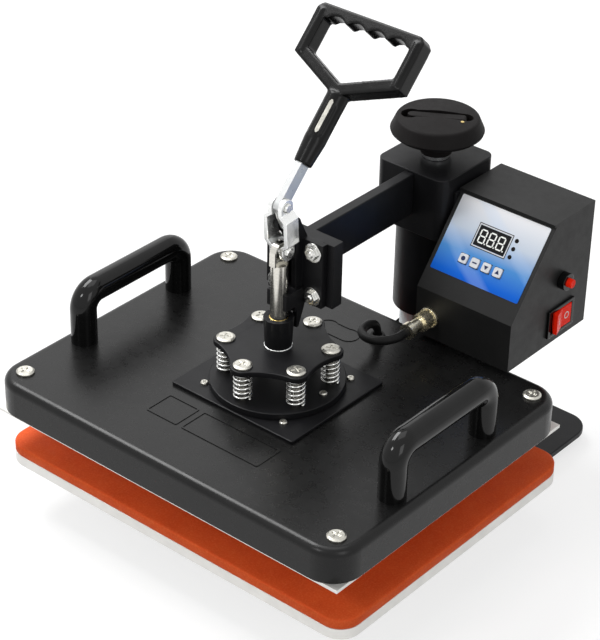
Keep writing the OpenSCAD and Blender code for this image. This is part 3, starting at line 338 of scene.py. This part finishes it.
steel = surface(
    "steel", (0.56, 0.57, 0.58), (0.70, 0.71, 0.72), rough=(0.22, 0.34),
    cloud=40.0, grain=60.0, depth=0.08, stretch=TURNED, **METAL)
# the cool tint is painted in to cancel the orange pad's reflection in the post
post_steel = surface(
    "post_steel", (0.60, 0.70, 0.72), (0.72, 0.81, 0.83), rough=(0.44, 0.54),
    cloud=40.0, grain=60.0, depth=0.05, stretch=TURNED, Metallic=0.2)
aluminium = surface(
    "aluminium", (0.76, 0.75, 0.72), (0.84, 0.83, 0.80), rough=(0.38, 0.50),
    cloud=60.0, grain=1400.0, depth=0.06, Metallic=0.6)
brass = surface(
    "brass", (0.62, 0.46, 0.16), (0.76, 0.58, 0.24), rough=(0.22, 0.34),
    cloud=120.0, grain=1500.0, depth=0.08, **METAL)
glass_black = surface(
    "display_glass", (0.004, 0.004, 0.005), (0.007, 0.007, 0.008), rough=(0.34, 0.40),
    cloud=60.0, grain=300.0, depth=0.02, Specular_IOR_Level=0.12)
# painted glow: a faint red emission brightens the rocker and the breaker button, though neither
# is a lamp
red_plastic_painted_glow = surface(
    "red", (0.70, 0.014, 0.004), (0.82, 0.022, 0.006), rough=(0.22, 0.32),
    cloud=90.0, grain=900.0, depth=0.05, Specular_IOR_Level=0.05,
    Emission_Color=(0.9, 0.02, 0.005, 1.0), Emission_Strength=0.22)
key_white = surface(
    "key_white", (0.62, 0.64, 0.67), (0.74, 0.75, 0.77), rough=(0.28, 0.38),
    cloud=200.0, grain=1800.0, depth=0.06, Specular_IOR_Level=0.3)
lamp_dark = surface(
    "lamp_dark", (0.006, 0.005, 0.005), (0.010, 0.008, 0.008), rough=(0.20, 0.30),
    cloud=300.0, grain=900.0, depth=0.03, Specular_IOR_Level=0.12)
wool = surface(
    "wool", (0.55, 0.53, 0.45), (0.70, 0.68, 0.58), rough=(0.8, 0.95),
    cloud=150.0, grain=1600.0, depth=0.5)
digit_white = surface(
    "digit_white", (0.82, 0.83, 0.80), (0.90, 0.91, 0.88), rough=(0.35, 0.5),
    cloud=400.0, grain=1500.0, depth=0.03)
icon_blue = surface(
    "icon_blue", (0.010, 0.020, 0.07), (0.016, 0.030, 0.10), rough=(0.35, 0.45),
    cloud=300.0, grain=1500.0, depth=0.03, Specular_IOR_Level=0.2)
silicone = silicone_rubber()
panel_sheet = panel_print()
board_green = circuit_green()

FINISH = {
    satin_black: [
        "base_plate", "post_foot", "platen_stand", "swing_sleeve", "head_block", "arm_bar",
        "end_plate", "guide_bracket", "box_hanger", "spring_disc", "square_plate",
        "flower_plate", "rod_socket"],
    cover_black: ["head_cover"],
    box_black: ["box_shell", "box_back_cover"],
    gloss_black: ["handle_left", "handle_right", "rocker_bezel", "breaker_body", "mains_inlet"],
    grip_black: ["lever_grip"],
    matte_black: ["knob", "knob_crank"],
    rubber_black: ["rubber_feet", "lead_grommet", "heater_lead"],
    zinc: ["float_springs"],
    bar_zinc: ["lever_bar"],
    link_zinc: ["link_plates"],
    bolt_zinc: ["post_bolts", "stand_bolts", "bracket_bolts", "link_pin", "tongue_pin"],
    screw_zinc: ["spring_bolts", "plate_screws", "cover_screws"],
    nickel: ["plunger_rod"],
    plug_nickel: ["lead_socket", "lead_plug"],
    steel: ["swivel_nut", "height_screw", "lever_pivot"],
    post_steel: ["column_post"],
    aluminium: ["lower_platen", "heat_platen"],
    silicone: ["silicone_pad"],
    brass: ["crank_pin"],
    panel_sheet: ["panel_overlay"],
    glass_black: ["display"],
    lamp_dark: ["lamps"],
    red_plastic_painted_glow: ["rocker", "breaker_button"],
    key_white: ["key_1", "key_2", "key_3", "key_4"],
    board_green: ["circuit_board"],
    wool: ["insulation"],
}
for finish, names in FINISH.items():
    for name in names:
        slots = nodes[name].data.materials
        slots.clear()
        slots.append(finish)


# Small edge rounds on the machined and pressed pieces

EDGE_MM = {
    "base_plate": 1.0, "head_block": 1.0, "arm_bar": 0.8, "end_plate": 1.0,
    "guide_bracket": 0.6, "box_shell": 1.0, "box_back_cover": 0.4, "flower_plate": 0.7,
    "spring_disc": 0.8, "square_plate": 0.6, "rod_socket": 0.8, "lower_platen": 0.6,
    "heat_platen": 0.3, "lever_bar": 0.7, "link_plates": 0.7, "spring_bolts": 0.3,
    "bracket_bolts": 0.4, "cover_screws": 0.3, "rocker_bezel": 0.5, "rocker": 0.5,
    "breaker_body": 0.5, "breaker_button": 0.4, "lead_socket": 0.4, "knob_crank": 0.6,
    "swing_sleeve": 0.8, "knob": 0.5, "key_1": 0.4, "key_2": 0.4, "key_3": 0.4, "key_4": 0.4,
    "plunger_rod": 0.4, "post_foot": 0.8, "mains_inlet": 0.4, "box_hanger": 0.4,
}
# plates whose holed faces would crack when their triangles are joined
HOLED = ("flower_plate",)
WELD = 1e-5
FLAT = math.radians(0.5)
SHARP = math.radians(38.0)
EDGE_SEGMENTS = 2
NORMAL_WEIGHT = 70


def weld(node):
    step = node.modifiers.new("weld", "WELD")
    step.merge_threshold = WELD


def round_edges(node, width, holed):
    """Joins the node's flat triangles, bevels its sharp edges and evens its shading."""
    weld(node)
    if not holed:
        flat = node.modifiers.new("flat", "DECIMATE")
        flat.decimate_type = "DISSOLVE"
        flat.angle_limit = FLAT
    edge = node.modifiers.new("edge", "BEVEL")
    edge.width = width
    edge.segments = EDGE_SEGMENTS
    edge.limit_method = "ANGLE"
    edge.angle_limit = SHARP
    even = node.modifiers.new("even", "WEIGHTED_NORMAL")
    even.weight = NORMAL_WEIGHT
    even.keep_sharp = True


for name, width in EDGE_MM.items():
    round_edges(nodes[name], width * MM, name in HOLED)


# The moulded grip has no sharp edge anywhere

GRIP_CELL = 0.9
GRIP_ROUNDS = 10
GRIP_SOFTNESS = 0.5


def mould(node):
    weld(node)
    skin = node.modifiers.new("skin", "REMESH")
    skin.mode = "VOXEL"
    skin.voxel_size = GRIP_CELL * MM
    skin.use_smooth_shade = True
    soft = node.modifiers.new("soft", "SMOOTH")
    soft.factor = GRIP_SOFTNESS
    soft.iterations = GRIP_ROUNDS


mould(nodes["lever_grip"])


# Outlines and closed shapes that the new pieces are made of

def new_piece(name, verts, faces, material, smooth=True):
    mesh = bpy.data.meshes.new(name)
    mesh.from_pydata([tuple(v) for v in verts], [], faces)
    mesh.validate()
    mesh.polygons.foreach_set("use_smooth", [smooth] * len(mesh.polygons))
    mesh.materials.append(material)
    piece = bpy.data.objects.new(name, mesh)
    scene.collection.objects.link(piece)
    return piece


def circle(radius, steps):
    turns = [2.0 * math.pi * i / steps for i in range(steps)]
    return [(radius * math.cos(a), radius * math.sin(a)) for a in turns]


def rectangle(half_w, half_h):
    return [(-half_w, -half_h), (half_w, -half_h), (half_w, half_h), (-half_w, half_h)]


def shifted(outline, dx, dy):
    return [(dx + x, dy + y) for x, y in outline]


def joined(shapes):
    """One list of points and one of faces, from several shapes."""
    verts, faces = [], []
    for points, sides in shapes:
        start = len(verts)
        verts += points
        faces += [tuple(start + i for i in side) for side in sides]
    return verts, faces


def skin_faces(rows, count):
    """Faces over rows of so many points each, closed at both ends."""
    faces = []
    for r in range(rows - 1):
        low, high = r * count, (r + 1) * count
        for i in range(count):
            n = (i + 1) % count
            faces.append((low + i, low + n, high + n, high + i))
    last = (rows - 1) * count
    faces.append(tuple(range(count - 1, -1, -1)))
    faces.append(tuple(range(last, last + count)))
    return faces


def tube(path, radii, sides):
    """Round tube along path, with a frame that doesn't twist."""
    verts = []
    guide = Vector((0.0, 0.0, 1.0))
    last = len(path) - 1
    for i, p in enumerate(path):
        along = (path[min(i + 1, last)] - path[max(i - 1, 0)]).normalized()
        guide = guide - along * guide.dot(along)
        guide.normalize()
        other = along.cross(guide)
        verts += [p + guide * x + other * y for x, y in circle(radii[i], sides)]
    return verts, skin_faces(len(path), sides)


def prism(outline, low, high):
    """Closed prism over an outline that runs anticlockwise."""
    n = len(outline)
    points = [(x, y, z) for z in (low, high) for x, y in outline]
    sides = [tuple(range(n - 1, -1, -1)), tuple(range(n, 2 * n))]
    sides += [(i, (i + 1) % n, n + (i + 1) % n, n + i) for i in range(n)]
    return points, sides


def hollow_prism(outer, inner, low, high):
    """Closed ring between two outlines of as many points."""
    n = len(outer)
    points = [(x, y, z) for z in (low, high) for line in (outer, inner) for x, y in line]
    sides = []
    for i in range(n):
        k = (i + 1) % n
        sides += [
            (2 * n + i, 2 * n + k, 3 * n + k, 3 * n + i), (i, n + i, n + k, k),
            (i, k, 2 * n + k, 2 * n + i), (n + k, n + i, 3 * n + i, 3 * n + k)]
    return points, sides


# Bare metal in the grip's stem

PIN_B_Z = 309.89
LEVER_LEAN = 44.0
LEVER_SHOW = 38.0
STEM_R = 9.6
GRIP = (
    Matrix.Translation(at(0.0, 0.0, PIN_B_Z)) @ rotation(-LEVER_LEAN, "X")
    @ Matrix.Translation(Vector((0.0, 0.0, LEVER_SHOW)) * MM))
STRIP_HALF = 1.7
STRIP_LOW = 27.0
STRIP_HIGH = 57.0
STRIP_TURN = 18.0
STRIP_SUNK = 1.5
STRIP_PROUD = 0.12
STRIP_STEPS = 16
# share of the strip's width that is left at its two ends
STRIP_TIP = 0.25


def stem_strip():
    """Strip that shows through the window in the grip's stem, narrower at its ends."""
    front = GRIP @ rotation(STRIP_TURN, "Z")
    verts = []
    for i in range(STRIP_STEPS + 1):
        z = STRIP_LOW + (STRIP_HIGH - STRIP_LOW) * i / STRIP_STEPS
        from_end = min(z - STRIP_LOW, STRIP_HIGH - z)
        half = STRIP_HALF * min(1.0, math.sqrt(from_end / STRIP_HALF) + STRIP_TIP)
        for x in (-half, half):
            for y in (-STEM_R + STRIP_SUNK, -STEM_R - STRIP_PROUD):
                verts.append(front @ (Vector((x, y, z)) * MM))
    faces = []
    for a in range(0, 4 * STRIP_STEPS, 4):
        b = a + 4
        faces += [
            (a + 1, a + 3, b + 3, b + 1), (a, b, b + 2, a + 2),
            (a, a + 1, b + 1, b), (a + 2, b + 2, b + 3, a + 3)]
    last = 4 * STRIP_STEPS
    faces += [(0, 2, 3, 1), (last, last + 1, last + 3, last + 2)]
    piece = new_piece("stem_strip", verts, faces, screw_zinc, smooth=False)
    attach(piece, "lever")


stem_strip()


# Springs between the disc and the flower plate

DISC_TOP = 145.5
FLOWER_Z = 172.0
SPRING_R = 7.2
WIRE_R = 1.0
WIRE_SIDES = 10
TURNS = 6.0
TURN_STEPS = 28
# the end turns lie flatter than the rest, just clear of their seats
FLAT_TURNS = 0.75
FLAT_GAP = 0.5
SEAT_GAP = 0.05
BOLT_CIRCLE = 45.0
SPRING_ANGLES = range(30, 360, 60)


def coil_height(turn):
    """Height of the wire's middle over the disc, after so many turns."""
    low = WIRE_R + SEAT_GAP
    rise = FLOWER_Z - DISC_TOP - 2 * low
    flat = 2 * WIRE_R + FLAT_GAP
    if turn < FLAT_TURNS:
        return low + flat * turn / FLAT_TURNS
    if turn > TURNS - FLAT_TURNS:
        return low + rise - flat * (TURNS - turn) / FLAT_TURNS
    return low + flat + (rise - 2 * flat) * (turn - FLAT_TURNS) / (TURNS - 2 * FLAT_TURNS)


def coil(degrees):
    """One spring's wire, at this angle round the plunger."""
    middle_x = BOLT_CIRCLE * math.cos(math.radians(degrees))
    middle_y = BOLT_CIRCLE * math.sin(math.radians(degrees))
    steps = int(TURNS * TURN_STEPS)
    path = []
    for i in range(steps + 1):
        turn = TURNS * i / steps
        x = middle_x + SPRING_R * math.cos(2.0 * math.pi * turn)
        y = middle_y + SPRING_R * math.sin(2.0 * math.pi * turn)
        path.append(at(x, y, DISC_TOP + coil_height(turn)))
    return tube(path, [WIRE_R * MM] * len(path), WIRE_SIDES)


def coil_springs():
    verts, faces = joined([coil(degrees) for degrees in SPRING_ANGLES])
    piece = new_piece("coil_springs", verts, faces, bolt_zinc)
    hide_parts("float_springs")
    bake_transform(piece)


coil_springs()


# Lead from the plug to the cover's grommet

LEAD_R = 4.0
LEAD_FROM = (56.0, 104.2, 163.5)
LEAD_TO = (19.0, 112.0, 142.5)
# reach of the lead into the plug
LEAD_IN = 6.0
# the lead's end stays loose in the grommet, which rises on the springs
LEAD_END = 1.3
LEAD_END_R = 3.1
LEAD_TAPER = 14.0
# bend of the lead down into the grommet, two diameters
LEAD_DIP_R = 16.0
LEAD_STEPS = 40
LEAD_SIDES = 22


def lead_route():
    """Out of the plug, half round to the left, then down; in millimetres."""
    x0, y0, z0 = LEAD_FROM
    x1, y1, z1 = LEAD_TO
    half = (x0 - x1) / 2
    turn_y = y1 - LEAD_DIP_R
    dip_z = z1 + LEAD_DIP_R
    route = [(x0, y0 + LEAD_IN, z0), LEAD_FROM]
    for i in range(LEAD_STEPS + 1):
        a = math.pi * i / LEAD_STEPS
        fall = (z0 - dip_z) * (1.0 - math.cos(a)) / 2
        route.append((x1 + half * (1.0 + math.cos(a)), turn_y - half * math.sin(a), z0 - fall))
    for i in range(1, LEAD_STEPS // 2 + 1):
        a = math.pi * i / LEAD_STEPS
        y = turn_y + LEAD_DIP_R * math.sin(a)
        route.append((x1, y, dip_z - LEAD_DIP_R * (1.0 - math.cos(a))))
    route.append((x1, y1, z1 - LEAD_END))
    return route


def lead_radii(route):
    """The lead's radius at each point: thinner towards its loose end."""
    left = 0.0
    radii = [LEAD_END_R * MM]
    for near, far in zip(route[-2::-1], route[:0:-1]):
        left += math.dist(near, far)
        share = min(1.0, left / LEAD_TAPER)
        radii.append((LEAD_END_R + (LEAD_R - LEAD_END_R) * share) * MM)
    radii.reverse()
    return radii


def head_lead():
    route = lead_route()
    path = [at(*point) for point in route]
    verts, faces = tube(path, lead_radii(route), LEAD_SIDES)
    piece = new_piece("head_lead", verts, faces, rubber_black)
    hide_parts("heater_lead")
    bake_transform(piece)


head_lead()


# Silicone pad on the lower platen

PAD_W = 380.0
PAD_D = 300.0
PAD_R = 20.0
PAD_Z = 60.0
PAD_X = 5.0
PAD_Y = 4.0
PAD_CORNER_STEPS = 12
# greatest distance between points along the pad's sides
PAD_STEP = 8.0
# the pad's cut edge wanders by this share, in a short and a long wave
PAD_WANDER = 0.0012
PAD_SHORT = 0.37
PAD_LONG = 0.11
# inset and height of each row round the pad, from its underside to its top
PAD_ROWS = [
    (6.0, 0.0), (0.9, 0.0), (0.25, 0.35), (0.0, 1.0), (0.0, 4.5),
    (0.0, 7.6), (0.3, 8.4), (0.9, 8.85), (2.0, 8.97), (14.0, 9.0),
]


def pad_outline():
    """Rounded rectangle with points along its sides too."""
    points = []
    for corner, (sx, sy) in enumerate([(1, 1), (-1, 1), (-1, -1), (1, -1)]):
        middle_x = sx * (PAD_W / 2 - PAD_R)
        middle_y = sy * (PAD_D / 2 - PAD_R)
        for i in range(PAD_CORNER_STEPS + 1):
            a = math.radians(90 * corner + 90 * i / PAD_CORNER_STEPS)
            points.append((middle_x + PAD_R * math.cos(a), middle_y + PAD_R * math.sin(a)))
    full = []
    for p, q in zip(points, points[1:] + points[:1]):
        parts = max(1, round(math.dist(p, q) / PAD_STEP))
        for i in range(parts):
            t = i / parts
            full.append((p[0] + (q[0] - p[0]) * t, p[1] + (q[1] - p[1]) * t))
    return full


def press_pad():
    verts = []
    outline = pad_outline()
    for inset, rise in PAD_ROWS:
        for i, (x, y) in enumerate(outline):
            wave = math.sin(i * PAD_SHORT) * math.sin(i * PAD_LONG + 1.0)
            cut = 1.0 - PAD_WANDER * (0.5 + 0.5 * wave)
            px = x * cut * (1.0 - inset / (PAD_W / 2))
            py = y * cut * (1.0 - inset / (PAD_D / 2))
            verts.append(at(PAD_X + px, PAD_Y + py, PAD_Z + rise))
    faces = skin_faces(len(PAD_ROWS), len(outline))
    piece = new_piece("press_pad", verts, faces, silicone)
    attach(piece, "base")
    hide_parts("silicone_pad")


press_pad()


# Thin bright rings round the plunger

FLOWER_TOP = 177.0
SOCKET_TOP = 205.0
RING_WIRE = 0.5
RING_STEPS = 64
RING_SIDES = 8
SOCKET_RING_R = 11.75
SOCKET_RING_Z = FLOWER_TOP + 0.35
ROD_RING_R = 7.8
ROD_RING_Z = SOCKET_TOP - 0.9


def plunger_ring(name, radius, height, material):
    verts, faces = [], []
    wire = circle(RING_WIRE, RING_SIDES)
    for i in range(RING_STEPS):
        a = 2.0 * math.pi * i / RING_STEPS
        for out, up in wire:
            r = radius + out
            verts.append(at(r * math.cos(a), r * math.sin(a), height + up))
        here, there = i * RING_SIDES, (i + 1) % RING_STEPS * RING_SIDES
        for k in range(RING_SIDES):
            m = (k + 1) % RING_SIDES
            faces.append((here + k, there + k, there + m, here + m))
    piece = new_piece(name, verts, faces, material)
    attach(piece, "plunger")


plunger_ring("socket_ring", SOCKET_RING_R, SOCKET_RING_Z, zinc)
plunger_ring("rod_ring", ROD_RING_R, ROD_RING_Z, brass)


# Marks on the control box

PANEL_AT = (40.5, 137.5, 189.0)
PANEL_DEG = 51.39
PANEL_LEN = 95.34
PANEL = Matrix.Translation(at(*PANEL_AT)) @ rotation(PANEL_DEG, "X")
SHEET_T = 0.4
PRINT_T = 0.12
PRINT_SUNK = 0.05


def thin_print(name, shapes, place, material, body):
    """Thin raised print; place turns the shapes' plane onto the surface."""
    points, faces = joined(shapes)
    verts = [place @ (Vector(p) * MM) for p in points]
    piece = new_piece(name, verts, faces, material, smooth=False)
    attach(piece, body)


def on_panel(name, outlines, base, material, body):
    """Print at this height over the panel's plane."""
    shapes = [prism(line, base - PRINT_SUNK, base + PRINT_T) for line in outlines]
    thin_print(name, shapes, PANEL, material, body)


DISPLAY_X = 49.0
DISPLAY_Y = PANEL_LEN - 34.3
DISPLAY_TOP = 0.8
DIGIT_W = 6.0
DIGIT_H = 11.5
DIGIT_PITCH = 9.4
# the figures sit left of the middle, to leave room for the last point
DIGIT_SHIFT = 0.4
SEGMENT_W = 1.25
SEGMENT_GAP = 0.18
DOT_R = 0.65
DOT_OFF = 1.5
DOT_STEPS = 12


def segment(start, end):
    """Pointed bar of a seven-segment figure, between two of its corners."""
    start, end = Vector(start), Vector(end)
    along = (end - start).normalized()
    across = Vector((-along.y, along.x)) * SEGMENT_W / 2
    tip = along * SEGMENT_W / 2
    a = start + along * SEGMENT_GAP
    b = end - along * SEGMENT_GAP
    points = [a, a + tip - across, b - tip - across, b, b - tip + across, a + tip + across]
    return [(p.x, p.y) for p in points]


def figure_eights():
    """Three figures with their points, in the display's window."""
    outlines = []
    low, high = DISPLAY_Y - DIGIT_H / 2, DISPLAY_Y + DIGIT_H / 2
    for i in (-1, 0, 1):
        middle = DISPLAY_X + i * DIGIT_PITCH - DIGIT_SHIFT
        left, right = middle - DIGIT_W / 2, middle + DIGIT_W / 2
        for y in (low, DISPLAY_Y, high):
            outlines.append(segment((left, y), (right, y)))
        for x in (left, right):
            outlines.append(segment((x, low), (x, DISPLAY_Y)))
            outlines.append(segment((x, DISPLAY_Y), (x, high)))
        outlines.append(shifted(circle(DOT_R, DOT_STEPS), right + DOT_OFF, low))
    on_panel("figures", outlines, DISPLAY_TOP, digit_white, "arm")


KEY_X = 31.0
KEY_PITCH = 12.0
KEY_Y = PANEL_LEN - 58.0
KEY_TOP = 1.6
KEY_BODIES = ("key_a", "key_b", "key_c", "key_d")
SIGN_DISC_R = 2.1
SIGN_DISC_STEPS = 18
SIGN_BAR = (2.3, 0.6)
# reach of a triangle's corners and tip, and how far its base lies from the middle
SIGN_REACH = 2.2
SIGN_BASE = 1.5


def key_marks():
    """A disc, a bar, and triangles that point down and up, one on each key."""
    signs = (
        circle(SIGN_DISC_R, SIGN_DISC_STEPS),
        rectangle(*SIGN_BAR),
        [(-SIGN_REACH, SIGN_BASE), (0.0, -SIGN_REACH), (SIGN_REACH, SIGN_BASE)],
        [(-SIGN_REACH, -SIGN_BASE), (SIGN_REACH, -SIGN_BASE), (0.0, SIGN_REACH)],
    )
    for i, (sign, body) in enumerate(zip(signs, KEY_BODIES)):
        outline = shifted(sign, KEY_X + KEY_PITCH * i, KEY_Y)
        on_panel("key_mark_" + str(i + 1), [outline], KEY_TOP, icon_blue, body)


WINDOW_W = 32.5
WINDOW_H = 19.0
FRAME_OUT = 0.9
LINE_OUT = 1.6


def window_line(margin):
    """Outline this far outside the display's window."""
    line = rectangle(WINDOW_W / 2 + margin, WINDOW_H / 2 + margin)
    return shifted(line, DISPLAY_X, DISPLAY_Y)


def display_frames():
    """Pale line round the window, and a dark one round that."""
    for name, inner, outer, material, slot in (
            ("display_frame", 0.0, FRAME_OUT, key_white, "key_white"),
            ("display_line", FRAME_OUT, LINE_OUT, lamp_dark, "display_glass")):
        ring = hollow_prism(
            window_line(outer), window_line(inner), SHEET_T - PRINT_SUNK, SHEET_T + PRINT_T)
        thin_print(name, [ring], PANEL, material, "arm")


figure_eights()
key_marks()
display_frames()


# Marks on the rocker's two faces

SWITCH_AT = (140.5, 212.0, 164.0)
SWITCH_DEG = 9.0
SWITCH = Matrix.Translation(at(*SWITCH_AT)) @ rotation(SWITCH_DEG, "Z")
ROCKER_DIP = 2.6
ROCKER_NOSE = 5.0
ROCKER_HALF = 13.85
MARK_R = 3.4
MARK_HOLE_R = 2.5
MARK_STEPS = 28
MARK_BAR_HALF = 0.5
# turns a shape's plane so that its height runs out of the rocker's face
OUTWARD = Matrix(((0, 0, 1, 0), (1, 0, 0, 0), (0, 1, 0, 0), (0, 0, 0, 1)))


def rocker_marks():
    """Ring on one half of the rocker and a bar on the other."""
    ring = hollow_prism(
        circle(MARK_R, MARK_STEPS), circle(MARK_HOLE_R, MARK_STEPS), -PRINT_SUNK, PRINT_T)
    bar = prism(rectangle(MARK_BAR_HALF, MARK_R), -PRINT_SUNK, PRINT_T)
    lean = math.atan2(ROCKER_NOSE - ROCKER_DIP, ROCKER_HALF)
    middle = (ROCKER_DIP + ROCKER_NOSE) / 2
    for name, side, shape in (("rocker_ring", 1, ring), ("rocker_bar", -1, bar)):
        face = Matrix.Translation(Vector((middle, side * ROCKER_HALF / 2, 0.0)) * MM)
        place = SWITCH @ face @ Matrix.Rotation(-side * lean, 4, "Z") @ OUTWARD
        thin_print(name, [shape], place, digit_white, "rocker")


rocker_marks()


# Floor, light and background

FLOOR_HALF = 12.0
FLOOR_GREY = 0.36
FLOOR_GLOW = 0.71
WORLD_LIGHT = 0.34
# each lamp's name, place, the point it faces, its width and height, and its watts
LAMPS = [
    ("edge_light", (-1.08, -0.12, 1.75), (0.0, -0.20, 0.13), (1.04, 0.85), 33.0),
    ("front_light", (-0.4, -2.2, 2.0), (0.0, 0.0, 0.15), (0.45, 0.45), 12.0),
    ("top_light", (-0.1, 0.1, 2.2), (0.0, 0.0, 0.15), (1.2, 1.2), 8.0),
    ("back_light", (-1.05, 0.85, 0.95), (-0.12, -0.10, 0.14), (0.9, 0.8), 1.5),
    ("side_light", (1.9, -0.8, 1.2), (0.0, 0.0, 0.2), (0.7, 1.2), 6.5),
]


def light_rays(tree):
    """1 for rays that should see the white surroundings: camera, mirror and glass rays."""
    path = tree.nodes.new("ShaderNodeLightPath")
    total = path.outputs["Is Camera Ray"]
    for name in ("Is Glossy Ray", "Is Transmission Ray"):
        more = tree.nodes.new("ShaderNodeMath")
        more.operation = "MAXIMUM"
        tree.links.new(total, more.inputs[0])
        tree.links.new(path.outputs[name], more.inputs[1])
        total = more.outputs["Value"]
    return total


def add_floor():
    """Matt floor that takes shadows, with a glow that lifts it to the white background."""
    material = bpy.data.materials.new("floor")
    material.use_nodes = True
    tree = material.node_tree
    shader = tree.nodes["Principled BSDF"]
    preset(shader, {
        "Base Color": (*grey(FLOOR_GREY), 1.0), "Roughness": 0.9, "Specular IOR Level": 0.0})
    glow = tree.nodes.new("ShaderNodeEmission")
    preset(glow, {"Color": WHITE})
    strength = tree.nodes.new("ShaderNodeMath")
    strength.operation = "MULTIPLY"
    strength.inputs[1].default_value = FLOOR_GLOW
    tree.links.new(light_rays(tree), strength.inputs[0])
    tree.links.new(strength.outputs["Value"], glow.inputs["Strength"])
    both = tree.nodes.new("ShaderNodeAddShader")
    tree.links.new(shader.outputs["BSDF"], both.inputs[0])
    tree.links.new(glow.outputs["Emission"], both.inputs[1])
    tree.links.new(both.outputs["Shader"], tree.nodes["Material Output"].inputs["Surface"])
    verts = [(x, y, 0.0) for x, y in rectangle(FLOOR_HALF, FLOOR_HALF)]
    new_piece("floor", verts, [(0, 1, 2, 3)], material, smooth=False)


def add_world():
    """Soft light from all sides, in front of a white background."""
    world = bpy.data.worlds.new("studio")
    scene.world = world
    world.use_nodes = True
    tree = world.node_tree
    lit = tree.nodes["Background"]
    preset(lit, {"Color": WHITE, "Strength": WORLD_LIGHT})
    seen = tree.nodes.new("ShaderNodeBackground")
    preset(seen, {"Color": WHITE, "Strength": 1.0})
    mix = tree.nodes.new("ShaderNodeMixShader")
    tree.links.new(light_rays(tree), mix.inputs["Fac"])
    tree.links.new(lit.outputs["Background"], mix.inputs[1])
    tree.links.new(seen.outputs["Background"], mix.inputs[2])
    tree.links.new(mix.outputs["Shader"], tree.nodes["World Output"].inputs["Surface"])


def add_lamp(name, place, aim, size, power):
    data = bpy.data.lights.new(name, "AREA")
    data.shape = "RECTANGLE"
    data.size, data.size_y = size
    data.energy = power
    lamp = bpy.data.objects.new(name, data)
    scene.collection.objects.link(lamp)
    lamp.location = place
    lamp.rotation_euler = (Vector(aim) - Vector(place)).to_track_quat("-Z", "Y").to_euler()


add_floor()
add_world()
for lamp in LAMPS:
    add_lamp(*lamp)
scene.view_settings.view_transform = "Standard"
